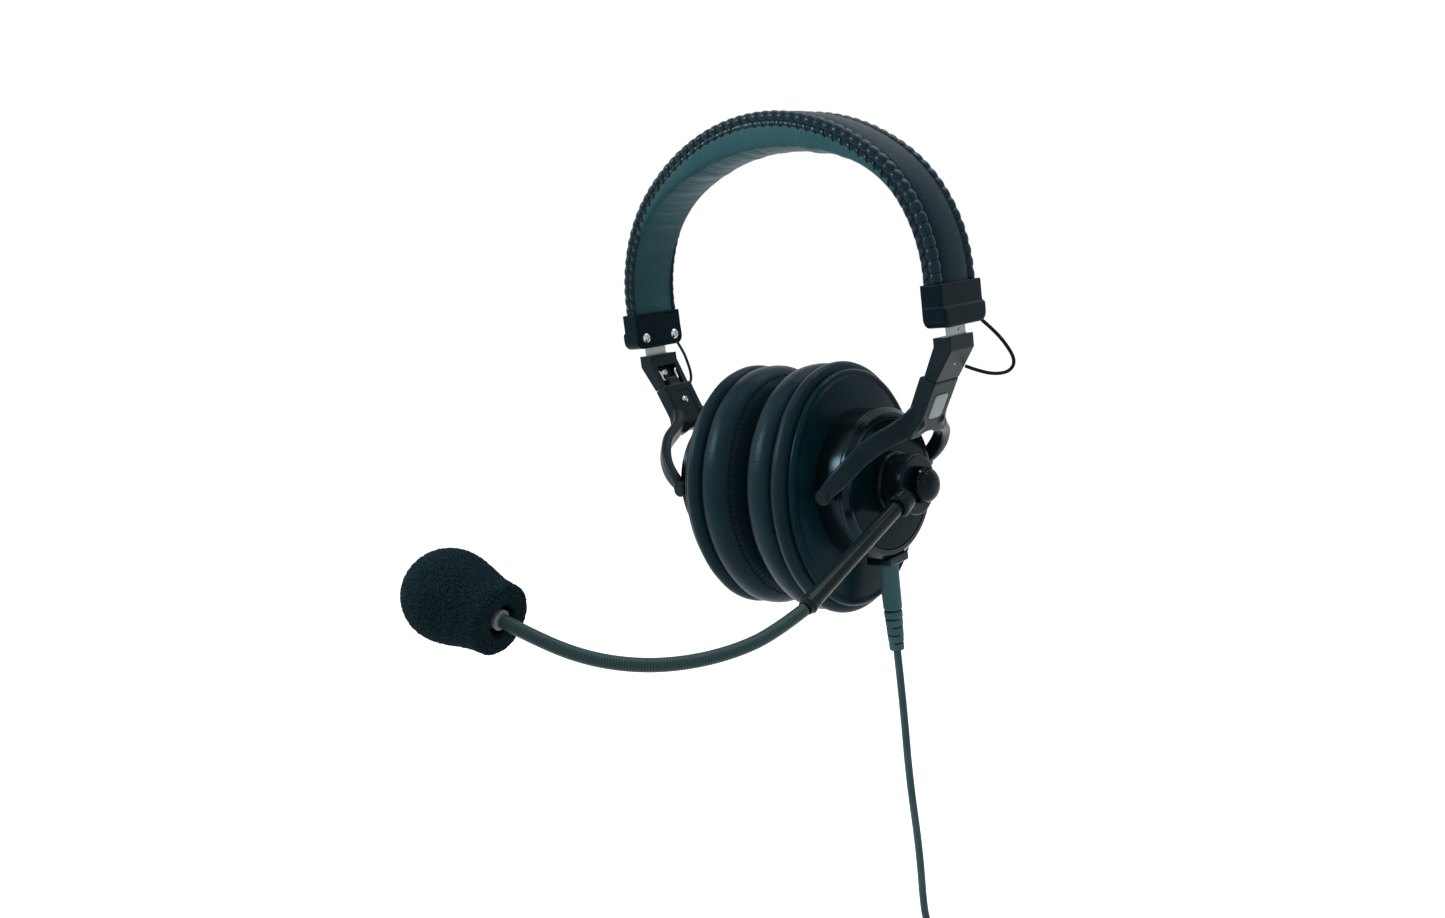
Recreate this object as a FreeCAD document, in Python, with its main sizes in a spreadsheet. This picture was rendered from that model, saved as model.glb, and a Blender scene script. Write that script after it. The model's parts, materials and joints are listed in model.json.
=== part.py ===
import FreeCAD, Part
import math
import os
import Sketcher

# Aviation headset, built as an assembly.  Millimetres, +Z up.  The wearer faces -Y and the
# wearer's left is +X.  The origin is the middle of the head pad's underside at the crown.
# Each sub-part is one object of the document, labelled with its own name, and each driving size is
# one cell of the sheet "Sizes".

DRIVING = [
    # Head band: a three-centred arch, the same on both sides of the crown
    ("band_half_span", 86.6),       # centre to the band's outer face at its feet
    ("band_top", 15.0),             # height of the band's outer face at the crown
    ("band_spring", -59.7),         # height where the arch turns into straight legs
    ("band_shoulder", 68.0),        # radius of the shoulders, outer face
    ("band_width", 28.0),           # over both stitched edges
    ("band_foot", -70.0),           # lower end of the strips, inside the end caps
    ("edge_roll", 4.8),             # diameter of the stitched edge roll
    ("cover_thick", 3.6),
    ("spring_thick", 1.0),
    ("spring_narrow", 1.6),         # the steel is this much narrower than the cover
    ("pad_end_thick", 1.4),         # pad at the feet; at the crown it reaches the origin
    ("pad_shoulder", 54.0),         # shoulder radius of the pad's underside
    ("pad_width", 27.0),
    ("layer_gap", 0.1),
    # End caps of the band
    ("end_top", -61.8),
    ("end_tall", 16.2),
    ("end_wide", 29.2),
    ("end_inset", 7.8),             # cap's inner face inside the band's outer face
    ("end_deep", 10.3),
    ("end_lip", 1.2),               # how far the lower part stands out
    ("end_lip_tall", 7.4),
    ("end_round", 4.0),
    ("end_plate_thick", 1.8),
    ("end_screw_reach", 9.3),       # screws to the cap's centre line
    ("end_screw_rise", 4.6),        # screws to the cap's lower end
    # Size adjusting strips
    ("strip_inset", 3.0),           # middle of the strip inside the band's outer face
    ("strip_thick", 1.1),
    ("strip_wide", 12.5),
    ("strip_head", -50.0),          # upper end, inside the band
    ("strip_seat", 5.0),            # how deep the strip sits in the hinge block
    # Folding hinge: block, wire bail and yoke, drawn in a frame that leans with the block
    ("lean", 26.0),
    ("hinge_inset", 13.4),          # inner lower corner of the block: inside the band's face
    ("hinge_up", -96.8),            # and height
    ("block_deep", 7.5),
    ("block_foot", 5.4),            # depth at the parting
    ("block_wide", 17.6),
    ("block_tall", 14.0),           # leaning part, up to the crease
    ("block_neck", 5.4),            # upright part above the crease
    ("parting", 0.3),               # gap between block and yoke
    ("notch_deep", 3.3),
    ("notch_wide", 12.0),
    ("notch_tall", 10.6),
    ("bail_wire", 1.2),
    ("bail_half", 4.8),
    ("bail_ends", 7.3),
    ("bail_inset", 1.0),            # wire centre below the inner face
    ("bail_low", 3.0),              # crossbar to the parting
    ("bail_long", 5.0),             # crossbar to the upper ends
    ("tongue_wide", 7.4),
    ("tongue_round", 1.6),
    # Yoke
    ("stem_long", 24.5),
    ("stem_top_half", 8.9),
    ("stem_low_half", 12.6),
    ("stem_low_deep", 4.6),
    ("stem_step", 2.0),             # inner face inside that of the block
    ("stem_flare", 7.0),            # height of the hollow curve between the two widths
    ("arm_wide", 8.2),
    ("arm_thick", 4.6),
    ("badge_wide", 9.0),
    ("badge_tall", 10.5),
    ("badge_thick", 0.8),
    ("badge_drop", 11.5),
    ("insert_wide", 9.0),
    ("insert_tall", 15.0),
    ("insert_thick", 1.0),
    ("insert_drop", 4.5),
    # Ear cup, all on one axis along X
    ("cup_up", -141.4),             # height of the cup's axis
    ("can_back", 30.6),             # centre to the back of the rim plate
    ("can_radius", 31.4),
    ("can_deep", 16.7),
    ("can_wall", 2.0),
    ("can_bevel", 1.6),
    ("face_recess", 1.5),
    ("face_rim", 4.2),              # width of the can's raised rim round the face
    ("plate_up", -143.9),
    ("plate_half_wide", 44.2),
    ("plate_half_tall", 50.4),
    ("plate_thick", 3.5),
    ("plate_round", 1.5),
    ("oval_less", 4.0),             # an oval's end radius is its half width less this much
    ("driver_radius", 20.0),
    ("driver_deep", 9.0),
    ("cushion_deep", 23.9),
    ("cushion_half_wide", 47.8),
    ("ear_half_wide", 22.0),
    ("pivot_out", 40.0),            # tilt axis to the middle plane
    ("pivot_rise", 2.2),            # tilt axis above the cup's axis
    ("pivot_knuckle", 3.3),         # radius of the yoke's round ends
    ("pivot_pin", 2.4),
    ("pivot_gap", 2.0),             # can to the inner face of the round ends
    ("pivot_deep", 4.8),
    # Microphone boom, on the left cup
    ("hub_radius", 13.5),
    ("hub_deep", 6.2),
    ("clamp_radius", 12.4),
    ("clamp_deep", 8.2),
    ("boom_drop", 20.3),            # boom below the horizontal, degrees
    ("boom_plane", 59.3),
    ("boom_tube", 5.6),
    ("boom_bore", 3.4),
    ("socket_end", 21.5),
    ("boom_end", 79.0),
    ("ferrule_long", 6.0),
    ("ferrule_wide", 7.0),
    ("knob_radius", 7.5),
    ("knob_tall", 6.0),
    ("stud", 5.0),
    ("neck_wide", 5.0),             # gooseneck
    ("mic_wide", 9.0),
    ("mic_long", 20.0),
    ("foam_long", 41.0),
    ("foam_wide", 33.0),
    ("foam_rear", 25.0),
    ("foam_hole", 11.0),
    # Cable, under the left cup
    ("cable_out", 41.0),            # centre to the cable
    ("cord", 3.4),
    ("relief_wide", 7.6),
    ("relief_barrel", 18.5),
    ("relief_ribs", 18.0),
    ("lug_reach", 4.6),             # lower face of the cable lug below the can
    ("hank_top", -352.0),
    ("hank_tall", 62.0),
    ("hank_wide", 30.0),
    ("hank_deep", 17.0),
    ("tie_thick", 1.2),
    ("tie_tall", 9.0),
    ("plug_wide", 9.6),
    ("plug_long", 34.0),
    ("plug_pin", 7.1),
    ("plug_pin_long", 27.0),
]

doc = FreeCAD.newDocument("AviationHeadset")
sheet = doc.addObject("Spreadsheet::Sheet", "Sizes")


class Size:
    """A number that carries the sheet formula it comes from."""

    def __init__(self, value, formula=None):
        self.value = float(value)
        self.formula = formula or f"{float(value):.6f}"

    def _with(self, other, value, sign, swap=False):
        a, b = (other, self) if swap else (self, other)
        return Size(value, f"({a.formula} {sign} {b.formula})")

    def __add__(self, other):
        other = as_size(other)
        return self._with(other, self.value + other.value, "+")

    __radd__ = __add__

    def __sub__(self, other):
        other = as_size(other)
        return self._with(other, self.value - other.value, "-")

    def __rsub__(self, other):
        other = as_size(other)
        return self._with(other, other.value - self.value, "-", swap=True)

    def __mul__(self, other):
        other = as_size(other)
        return self._with(other, self.value * other.value, "*")

    __rmul__ = __mul__

    def __truediv__(self, other):
        other = as_size(other)
        return self._with(other, self.value / other.value, "/")

    def __neg__(self):
        return Size(-self.value, f"(0 - {self.formula})")

    def __float__(self):
        return self.value


def as_size(number):
    return number if isinstance(number, Size) else Size(number)


def sine(degrees):
    return Size(math.sin(math.radians(float(degrees))), f"sin({degrees.formula})")


def cosine(degrees):
    return Size(math.cos(math.radians(float(degrees))), f"cos({degrees.formula})")


class Cells:
    """The sheet's cells, each read by its alias."""


S = Cells()
for row, (alias, number) in enumerate(DRIVING, start=1):
    sheet.set(f"A{row}", alias)
    sheet.set(f"B{row}", str(number))
    sheet.setAlias(f"B{row}", alias)
    setattr(S, alias, Size(number, f"Sizes.{alias}"))
doc.recompute()

# Sizes that follow from those
S.end_inner = S.band_half_span - S.end_inset
S.strip_middle = S.band_half_span - S.strip_inset
S.hinge_out = S.band_half_span - S.hinge_inset
S.pivot_up = S.cup_up + S.pivot_rise
S.pivot_near = S.can_radius + S.pivot_gap
S.pivot_far = S.pivot_near + S.pivot_deep
S.face_radius = S.can_radius - S.face_rim
S.lug_drop = S.can_radius + S.lug_reach

PARTS = {}
X_AXIS = FreeCAD.Vector(1, 0, 0)
Y_AXIS = FreeCAD.Vector(0, 1, 0)
Z_AXIS = FreeCAD.Vector(0, 0, 1)


def bind(thing, prop, amount):
    """Set a property to a size and keep the sheet's formula behind it."""
    thing.setExpression(prop, as_size(amount).formula)


def place(thing, at, axis=Z_AXIS, turn=0):
    thing.Placement = FreeCAD.Placement(FreeCAD.Vector(*[float(v) for v in at]),
                                        FreeCAD.Rotation(axis, float(turn)))
    for letter, amount in zip("xyz", at):
        bind(thing, f"Placement.Base.{letter}", amount)


def sub_part(name, thing):
    """Register a finished object as one of the headset's pieces."""
    thing.Label = name
    PARTS[name] = thing
    return thing


def named(kind, name):
    return doc.addObject(kind, name + "_form")


# Sketches and features

def new_body(name):
    return doc.addObject("PartDesign::Body", name + "_form")


def origin_plane(body, role):
    return next(f for f in body.Origin.OriginFeatures if f.Role == role)


def new_sketch(body, role, offset=0):
    sketch = body.newObject("Sketcher::SketchObject", body.Name + "_sketch")
    sketch.AttachmentSupport = [(origin_plane(body, role), "")]
    sketch.MapMode = "FlatFace"
    bind(sketch, "AttachmentOffset.Base.z", offset)
    return sketch


def arc_between(start, end, radius, side):
    """The arc under a half turn from start to end; side is +1 when it runs anticlockwise."""
    chord = end - start
    half = chord.Length / 2
    reach = math.sqrt(max(radius * radius - half * half, 0))
    normal = FreeCAD.Vector(-chord.y, chord.x, 0).normalize() * side
    centre = (start + end) * 0.5 + normal * reach
    middle = centre - normal * radius
    return Part.Arc(start, middle, end)


def outline(sketch, corners, closed=True):
    """Draw corners in order.  (x, y) ends a straight line, (x, y, radius, side) an arc."""
    points = [FreeCAD.Vector(float(c[0]), float(c[1]), 0) for c in corners]
    count = len(corners)
    first = sketch.GeometryCount
    edges = count if closed else count - 1
    for i in range(edges):
        start, end, goal = points[i], points[(i + 1) % count], corners[(i + 1) % count]
        if len(goal) == 2:
            sketch.addGeometry(Part.LineSegment(start, end), False)
        else:
            sketch.addGeometry(arc_between(start, end, float(goal[2]), goal[3]), False)
    for i in range(edges):
        goal = corners[(i + 1) % count]
        runs_back = len(goal) == 4 and goal[3] < 0
        head, tail = (2, 1) if runs_back else (1, 2)
        here = first + i
        tie(sketch, here, head, corners[i])
        if i == edges - 1 and not closed:
            tie(sketch, here, tail, goal)
        else:
            after = first + (i + 1) % count
            next_goal = corners[(i + 2) % count]
            next_head = 2 if len(next_goal) == 4 and next_goal[3] < 0 else 1
            sketch.addConstraint(Sketcher.Constraint("Coincident", here, tail, after, next_head))
        if len(goal) == 4:
            index = sketch.addConstraint(Sketcher.Constraint("Radius", here, float(goal[2])))
            bind(sketch, f"Constraints[{index}]", goal[2])


def tie(sketch, edge, end, corner):
    """Hold one end of an edge at a corner measured from the sketch's origin."""
    for kind, amount in (("DistanceX", corner[0]), ("DistanceY", corner[1])):
        index = sketch.addConstraint(Sketcher.Constraint(kind, -1, 1, edge, end, float(amount)))
        if isinstance(amount, Size):
            bind(sketch, f"Constraints[{index}]", amount)


def ring(sketch, x, y, radius):
    edge = sketch.addGeometry(Part.Circle(FreeCAD.Vector(float(x), float(y), 0), Z_AXIS,
                                          float(radius)), False)
    tie(sketch, edge, 3, (x, y))
    index = sketch.addConstraint(Sketcher.Constraint("Radius", edge, float(radius)))
    bind(sketch, f"Constraints[{index}]", radius)


def feature(body, kind, sketch, length, midplane=False, back=False):
    made = body.newObject("PartDesign::" + kind, body.Name + "_" + kind.lower())
    made.Profile = sketch
    bind(made, "Length", length)
    made.Midplane = midplane
    made.Reversed = back
    sketch.Visibility = False
    return made


def pad(body, sketch, length, midplane=False, back=False):
    return feature(body, "Pad", sketch, length, midplane, back)


def pocket(body, sketch, length, midplane=False, back=False):
    """Cut a pocket, and turn it round when it removes nothing."""
    doc.recompute()
    before = body.Shape.Volume
    made = feature(body, "Pocket", sketch, length, midplane, back)
    doc.recompute()
    if not midplane and before - body.Shape.Volume < 1e-6:
        made.Reversed = not back
        doc.recompute()
    return made


def edges_where(shape, test):
    return [f"Edge{i}" for i, edge in enumerate(shape.Edges, start=1) if test(edge)]


def dress(body, kind, amount, test):
    """Fillet or chamfer the edges of a body's tip that pass the test."""
    doc.recompute()
    tip = body.Tip
    made = body.newObject("PartDesign::" + kind, body.Name + "_" + kind.lower())
    made.Base = (tip, edges_where(tip.Shape, test))
    bind(made, "Radius" if kind == "Fillet" else "Size", amount)
    return made


def turned(name, profile):
    """A turned piece on its own Z axis; the profile is (radius, height) corners."""
    body = new_body(name)
    sketch = new_sketch(body, "XZ_Plane")
    outline(sketch, profile)
    made = body.newObject("PartDesign::Revolution", body.Name + "_turn")
    made.Profile = sketch
    made.ReferenceAxis = (sketch, ["V_Axis"])
    made.Angle = 360
    sketch.Visibility = False
    return body


def plate_of(name, role, corners, thickness, offset=0, midplane=False):
    body = new_body(name)
    sketch = new_sketch(body, role, offset)
    outline(sketch, corners)
    pad(body, sketch, thickness, midplane)
    return body


def box_corners(half_x, low_y, high_y, r):
    """Corners of a rectangle with four round corners, for a sketch."""
    return [(-half_x + r, low_y, r, 1), (half_x - r, low_y), (half_x, low_y + r, r, 1),
            (half_x, high_y - r), (half_x - r, high_y, r, 1), (-half_x + r, high_y),
            (-half_x, high_y - r, r, 1), (-half_x, low_y + r)]


def cylinder(name, radius, length):
    rod = named("Part::Cylinder", name)
    bind(rod, "Radius", radius)
    bind(rod, "Height", length)
    return rod


def box(name, x, y, z):
    block = named("Part::Box", name)
    bind(block, "Length", x)
    bind(block, "Width", y)
    bind(block, "Height", z)
    return block


def cut(name, base, tool):
    made = named("Part::Cut", name + "_cut")
    made.Base = base
    made.Tool = tool
    return made


def fuse(name, shapes):
    made = named("Part::MultiFuse", name + "_fuse")
    made.Shapes = shapes
    return made


def group(name, shapes):
    made = named("Part::Compound", name)
    made.Links = shapes
    return made


def mirrored(name, source, normal=X_AXIS):
    made = named("Part::Mirroring", name)
    made.Source = source
    made.Normal = normal
    made.Base = FreeCAD.Vector(0, 0, 0)
    return made


def by_code(name, shape):
    made = named("Part::Feature", name)
    made.Shape = shape
    return made


def both_sides(name, left):
    """Register the left piece and its mirror image on the right."""
    sub_part("left_" + name, left)
    sub_part("right_" + name, mirrored("right_" + name, left))


# Routes: straight runs joined by tangent arcs

def route_wire(points, largest=1000.0):
    """Path through the points with each corner rounded as far as its two runs allow."""
    spots = [FreeCAD.Vector(*p) for p in points]
    edges, radii = [], []
    start = spots[0]
    for before, corner, after in zip(spots, spots[1:], spots[2:]):
        back, ahead = before - corner, after - corner
        turn = math.pi - back.getAngle(ahead)
        short = min(back.Length, ahead.Length)
        reach = min(0.45 * short, largest * math.tan(turn / 2))
        radii.append(reach / math.tan(turn / 2))
        enter = corner + back.normalize() * reach
        leave = corner + ahead.normalize() * reach
        inward = (enter + leave) * 0.5 - corner
        depth = radii[-1] / math.cos(turn / 2) - radii[-1]
        edges.append(Part.LineSegment(start, enter).toShape())
        edges.append(Part.Arc(enter, corner + inward.normalize() * depth, leave).toShape())
        start = leave
    edges.append(Part.LineSegment(start, spots[-1]).toShape())
    return Part.Wire(edges), radii


def tube(name, points, width, largest=1000.0):
    """A round tube along a route, its volume compared with section times length."""
    path, radii = route_wire(points, largest)
    first = path.Edges[0]
    heading = first.tangentAt(first.FirstParameter)
    section = Part.Wire([Part.Circle(first.Vertexes[0].Point, heading, float(width) / 2).toShape()])
    solid = path.makePipeShell([section], True, True)
    ratio = solid.Volume / (math.pi * float(width) ** 2 / 4 * path.Length)
    print(f"{name}: length {path.Length:.1f}, radii {[round(r, 1) for r in radii]}, "
          f"volume ratio {ratio:.4f}")
    return by_code(name, solid)


# Head band

def arch_corners(depth, foot):
    """Outer corners of the arch at a depth below the band's outer face, right to left."""
    half_span = S.band_half_span - depth
    top = S.band_top - depth
    return three_centred(half_span, top, S.band_spring, S.band_shoulder - depth, foot)


def three_centred(half_span, top, spring, shoulder, foot):
    across = half_span - shoulder
    rise = top - spring - shoulder
    step = (across * across + rise * rise) / (2 * rise)
    crown = shoulder + step
    touch_x = across * crown / step
    touch_z = top - crown + (step - rise) * crown / step
    return half_span, spring, foot, touch_x, touch_z, shoulder, crown


def arch_band(outer, inner):
    """Closed outline between two arches."""
    a, spring, foot, tx, tz, r2, r1 = outer
    b, _, _, ux, uz, q2, q1 = inner
    return [(a, foot), (a, spring), (tx, tz, r2, 1), (-tx, tz, r1, 1), (-a, spring, r2, 1),
            (-a, foot), (-b, foot), (-b, spring), (-ux, uz, q2, -1), (ux, uz, q1, -1),
            (b, spring, q2, -1), (b, foot)]


def pad_underside(foot):
    reach = S.band_half_span - S.cover_thick - S.spring_thick - S.pad_end_thick
    return three_centred(reach, as_size(0.0), S.band_spring, S.pad_shoulder, foot)


def band_pieces():
    core = S.band_width - 2 * S.edge_roll
    cover = plate_of("band_cover", "XZ_Plane",
                     arch_band(arch_corners(as_size(0.0), S.band_foot),
                               arch_corners(S.cover_thick, S.band_foot)), core, midplane=True)
    slots = new_sketch(cover, "XZ_Plane")
    half_slot = S.strip_thick / 2 + S.layer_gap
    for side in (1, -1):
        middle = side * S.strip_middle
        outline(slots, [(middle - half_slot, S.band_foot - 1), (middle + half_slot, S.band_foot - 1),
                        (middle + half_slot, S.strip_head + 1), (middle - half_slot, S.strip_head + 1)])
    pocket(cover, slots, S.strip_wide + 2 * S.layer_gap, midplane=True)
    sub_part("band_cover", cover)

    deep = S.cover_thick + S.spring_thick
    spring = plate_of("band_spring", "XZ_Plane",
                      arch_band(arch_corners(S.cover_thick, S.band_foot),
                                arch_corners(deep, S.band_foot)),
                      core - S.spring_narrow, midplane=True)
    sub_part("band_spring", spring)

    cushion = plate_of("band_pad", "XZ_Plane",
                       arch_band(arch_corners(deep, S.band_foot), pad_underside(S.band_foot)),
                       core, midplane=True)
    wide = new_sketch(cushion, "XZ_Plane")
    above_end = S.end_top + S.layer_gap
    outline(wide, arch_band(arch_corners(S.edge_roll + S.layer_gap, above_end),
                            pad_underside(above_end)))
    pad(cushion, wide, S.pad_width, midplane=True)
    sub_part("band_pad", cushion)

    for name, side in (("front_edge_roll", -1), ("rear_edge_roll", 1)):
        sub_part(name, edge_roll(name, side))


def edge_roll(name, side):
    """The stitched roll along one edge of the cover, swept along the arch."""
    body = new_body(name)
    roll = S.edge_roll / 2
    a, spring, foot, tx, tz, r2, r1 = arch_corners(roll, S.end_top + S.layer_gap)
    level = side * (S.band_width / 2 - roll)
    spine = new_sketch(body, "XZ_Plane", -level)
    outline(spine, [(a, foot), (a, spring), (tx, tz, r2, 1), (-tx, tz, r1, 1),
                    (-a, spring, r2, 1), (-a, foot)], closed=False)
    section = new_sketch(body, "XY_Plane", foot)
    ring(section, a, level, roll)
    made = body.newObject("PartDesign::AdditivePipe", name + "_sweep")
    made.Profile = section
    made.Spine = (spine, [f"Edge{i}" for i in range(1, 6)])
    spine.Visibility = False
    section.Visibility = False
    return body


# End caps and size strips

def end_outline(grow, top):
    """Front view of the cap: square above, round corners below."""
    half = S.end_wide / 2 + grow
    low = S.end_top - S.end_tall - grow
    r = S.end_round
    return [(-half, top), (-half, low + r), (-half + r, low, r, 1), (half - r, low),
            (half, low + r, r, 1), (half, top)]


def end_pieces():
    low = S.end_top - S.end_tall
    shell = new_body("left_end_cap")
    upper = new_sketch(shell, "YZ_Plane", S.end_inner)
    outline(upper, end_outline(as_size(0.0), S.end_top))
    pad(shell, upper, S.end_deep - S.end_lip)
    lower = new_sketch(shell, "YZ_Plane", S.end_inner + 0.4)
    outline(lower, end_outline(as_size(0.3), low + S.end_lip_tall))
    pad(shell, lower, S.end_deep - 0.4)
    doc.recompute()
    front = float(S.end_inner + S.end_deep)
    dress(shell, "Fillet", 0.9,
          lambda e: abs(e.CenterOfMass.x - front) < 0.01 and e.CenterOfMass.z < float(low) + 9)
    recess = new_sketch(shell, "YZ_Plane", S.end_inner)
    outline(recess, end_outline(as_size(-1.2), S.end_top - 1.2))
    pocket(shell, recess, S.end_plate_thick)
    socket = new_sketch(shell, "XY_Plane", S.end_top)
    core = S.band_width / 2 - S.edge_roll + 0.15
    near = S.band_half_span - S.cover_thick - S.spring_thick - S.pad_end_thick - 0.15
    far = S.band_half_span + 0.15
    outline(socket, [(near, -core), (far, -core), (far, core), (near, core)])
    pocket(shell, socket, S.end_top - S.band_foot + 0.15)
    slot = new_sketch(shell, "XY_Plane", S.end_top)
    half_x = S.strip_thick / 2 + S.layer_gap
    half_y = S.strip_wide / 2 + S.layer_gap
    outline(slot, [(S.strip_middle - half_x, -half_y), (S.strip_middle + half_x, -half_y),
                   (S.strip_middle + half_x, half_y), (S.strip_middle - half_x, half_y)])
    pocket(shell, slot, S.end_tall + 2)
    holes = new_sketch(shell, "YZ_Plane", S.end_inner)
    for side in (-1, 1):
        ring(holes, side * S.end_screw_reach, low + S.end_screw_rise, 1.15)
    pocket(shell, holes, 6.2)
    both_sides("end_cap", shell)

    cover = plate_of("left_end_cover", "YZ_Plane",
                     end_outline(as_size(-1.3), S.end_top - 1.3), S.end_plate_thick, S.end_inner)
    sinks = new_sketch(cover, "YZ_Plane", S.end_inner)
    for side in (-1, 1):
        ring(sinks, side * S.end_screw_reach, low + S.end_screw_rise, 1.15)
    pocket(cover, sinks, S.end_plate_thick + 1)
    both_sides("end_cover", cover)

    screws = []
    for side in (-1, 1):
        screw = cross_screw(f"end_screw{side + 2}", 2.3, 1.1, 1.1, 5.5)
        place(screw, (S.end_inner, side * S.end_screw_reach, low + S.end_screw_rise), Y_AXIS, -90)
        screws.append(screw)
    both_sides("end_screws", group("left_end_screws", screws))

    strip = plate_of("left_size_strip", "YZ_Plane",
                     box_corners(S.strip_wide / 2, low - 4 - S.strip_seat, S.strip_head, as_size(1.0)),
                     S.strip_thick, S.strip_middle - S.strip_thick / 2)
    mark = new_sketch(strip, "YZ_Plane", S.strip_middle + S.strip_thick / 2)
    outline(mark, [(-1.6, low - 2.6), (1.6, low - 2.6), (1.6, low - 1.2), (-1.6, low - 1.2)])
    pocket(strip, mark, as_size(0.25))
    both_sides("size_strip", strip)


def cross_screw(name, head, head_tall, shank, long):
    """Pan head screw with a cross recess; its head stands on the plane Z = 0."""
    body = turned(name, [(0, head_tall), (head * 0.55, head_tall), (head, head_tall * 0.35, head, -1),
                         (head, 0), (shank, 0), (shank, -long), (0, -long)])
    cross = new_sketch(body, "XY_Plane", head_tall)
    w, r = head * 0.14, head * 0.62
    outline(cross, [(w, w), (r, w), (r, -w), (w, -w), (w, -r), (-w, -r), (-w, -w), (-r, -w),
                    (-r, w), (-w, w), (-w, r), (w, r)][::-1])
    pocket(body, cross, head_tall * 0.6)
    return body


# Folding hinge and yoke, in the leaning frame of the block

def lean_place(thing):
    place(thing, (S.hinge_out, as_size(0.0), S.hinge_up), Y_AXIS, S.lean)
    bind(thing, "Placement.Rotation.Angle", S.lean)


def hinge_pieces():
    side, up = sine(S.lean), cosine(S.lean)
    deep, tall = S.block_deep, S.block_tall
    top_x = deep - S.block_neck * side
    top_z = tall + S.block_neck * up
    back_x = top_x - (deep - 0.2) * up
    back_z = top_z - (deep - 0.2) * side
    knee = back_z + back_x * up / side
    block = plate_of("left_hinge_block", "XZ_Plane",
                     [(0, 0), (S.block_foot, 0), (deep, tall), (top_x, top_z), (back_x, back_z), (0, knee)],
                     S.block_wide, midplane=True)
    notch = new_sketch(block, "XZ_Plane")
    outline(notch, [(-1, -1), (S.notch_deep, -1), (S.notch_deep, S.notch_tall), (-1, S.notch_tall)])
    pocket(block, notch, S.notch_wide, midplane=True)
    holes = new_sketch(block, "XZ_Plane")
    ring(holes, S.bail_inset, S.bail_low + S.bail_long, S.bail_wire / 2 + 0.03)
    pocket(block, holes, 2 * S.bail_ends + 0.2, midplane=True)
    doc.recompute()
    dress(block, "Fillet", 0.8,
          lambda e: abs(abs(e.CenterOfMass.y) - float(S.block_wide) / 2) < 0.01
          and e.CenterOfMass.x > float(deep) * 0.75)
    seat = box("left_strip_seat", S.strip_thick + 0.04, S.strip_wide + 0.04, S.strip_seat + 5)
    low = S.end_top - S.end_tall - 4 - S.strip_seat
    place(seat, (S.strip_middle - S.strip_thick / 2 - 0.02, -S.strip_wide / 2 - 0.02, low - 0.02))
    lean_place(block)
    screw_hole = cylinder("left_block_hole", as_size(1.15), as_size(3.4))
    lean_place(screw_hole)
    hole_x, hole_z = S.notch_deep - 0.2, S.notch_tall - 2.7
    lean_put(screw_hole, hole_x, hole_z, 90)
    both_sides("hinge_block", cut("left_hinge_block", cut("left_block", block, seat), screw_hole))

    screw = cross_screw("left_block_screw", 2.0, 1.0, 1.1, 3.0)
    lean_put(screw, S.notch_deep, hole_z, -90)
    both_sides("block_screw", screw)

    bail = new_body("left_bail")
    spine = new_sketch(bail, "YZ_Plane", S.bail_inset)
    half, ends, low_z = S.bail_half, S.bail_ends, S.bail_low
    high = S.bail_low + S.bail_long
    bend = as_size(1.2)
    outline(spine, [(-ends, high), (-half - bend, high), (-half, high - bend, bend, -1),
                    (-half, low_z + bend), (-half + bend, low_z, bend, 1), (half - bend, low_z),
                    (half, low_z + bend, bend, 1), (half, high - bend),
                    (half + bend, high, bend, -1), (ends, high)], closed=False)
    section = new_sketch(bail, "XZ_Plane", ends)
    ring(section, S.bail_inset, high, S.bail_wire / 2)
    sweep = bail.newObject("PartDesign::AdditivePipe", "left_bail_sweep")
    sweep.Profile = section
    sweep.Spine = (spine, [f"Edge{i}" for i in range(1, 10)])
    spine.Visibility = False
    section.Visibility = False
    lean_place(bail)
    both_sides("bail", bail)


def lean_put(thing, x, z, turn):
    """Place a piece that points along the leaning frame's x axis."""
    side, up = sine(S.lean), cosine(S.lean)
    place(thing, (S.hinge_out + x * up + z * side, as_size(0.0), S.hinge_up - x * side + z * up),
          Y_AXIS, turn + float(S.lean))
    bind(thing, "Placement.Rotation.Angle", as_size(turn) + S.lean)


def section_of(centre, along, outward, width, thick):
    """One rectangular section of a yoke arm, with rounded corners."""
    along = along.normalize()
    across = along.cross(outward).normalize()
    outward = across.cross(along).normalize()
    w, t, r = width / 2, thick / 2, 0.9
    spots = [(w - r, -t), (w, -t + r), (w, t - r), (w - r, t), (-w + r, t), (-w, t - r),
             (-w, -t + r), (-w + r, -t)]
    points = [centre + across * u + outward * v for u, v in spots]
    return Part.makePolygon(points + points[:1])


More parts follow.
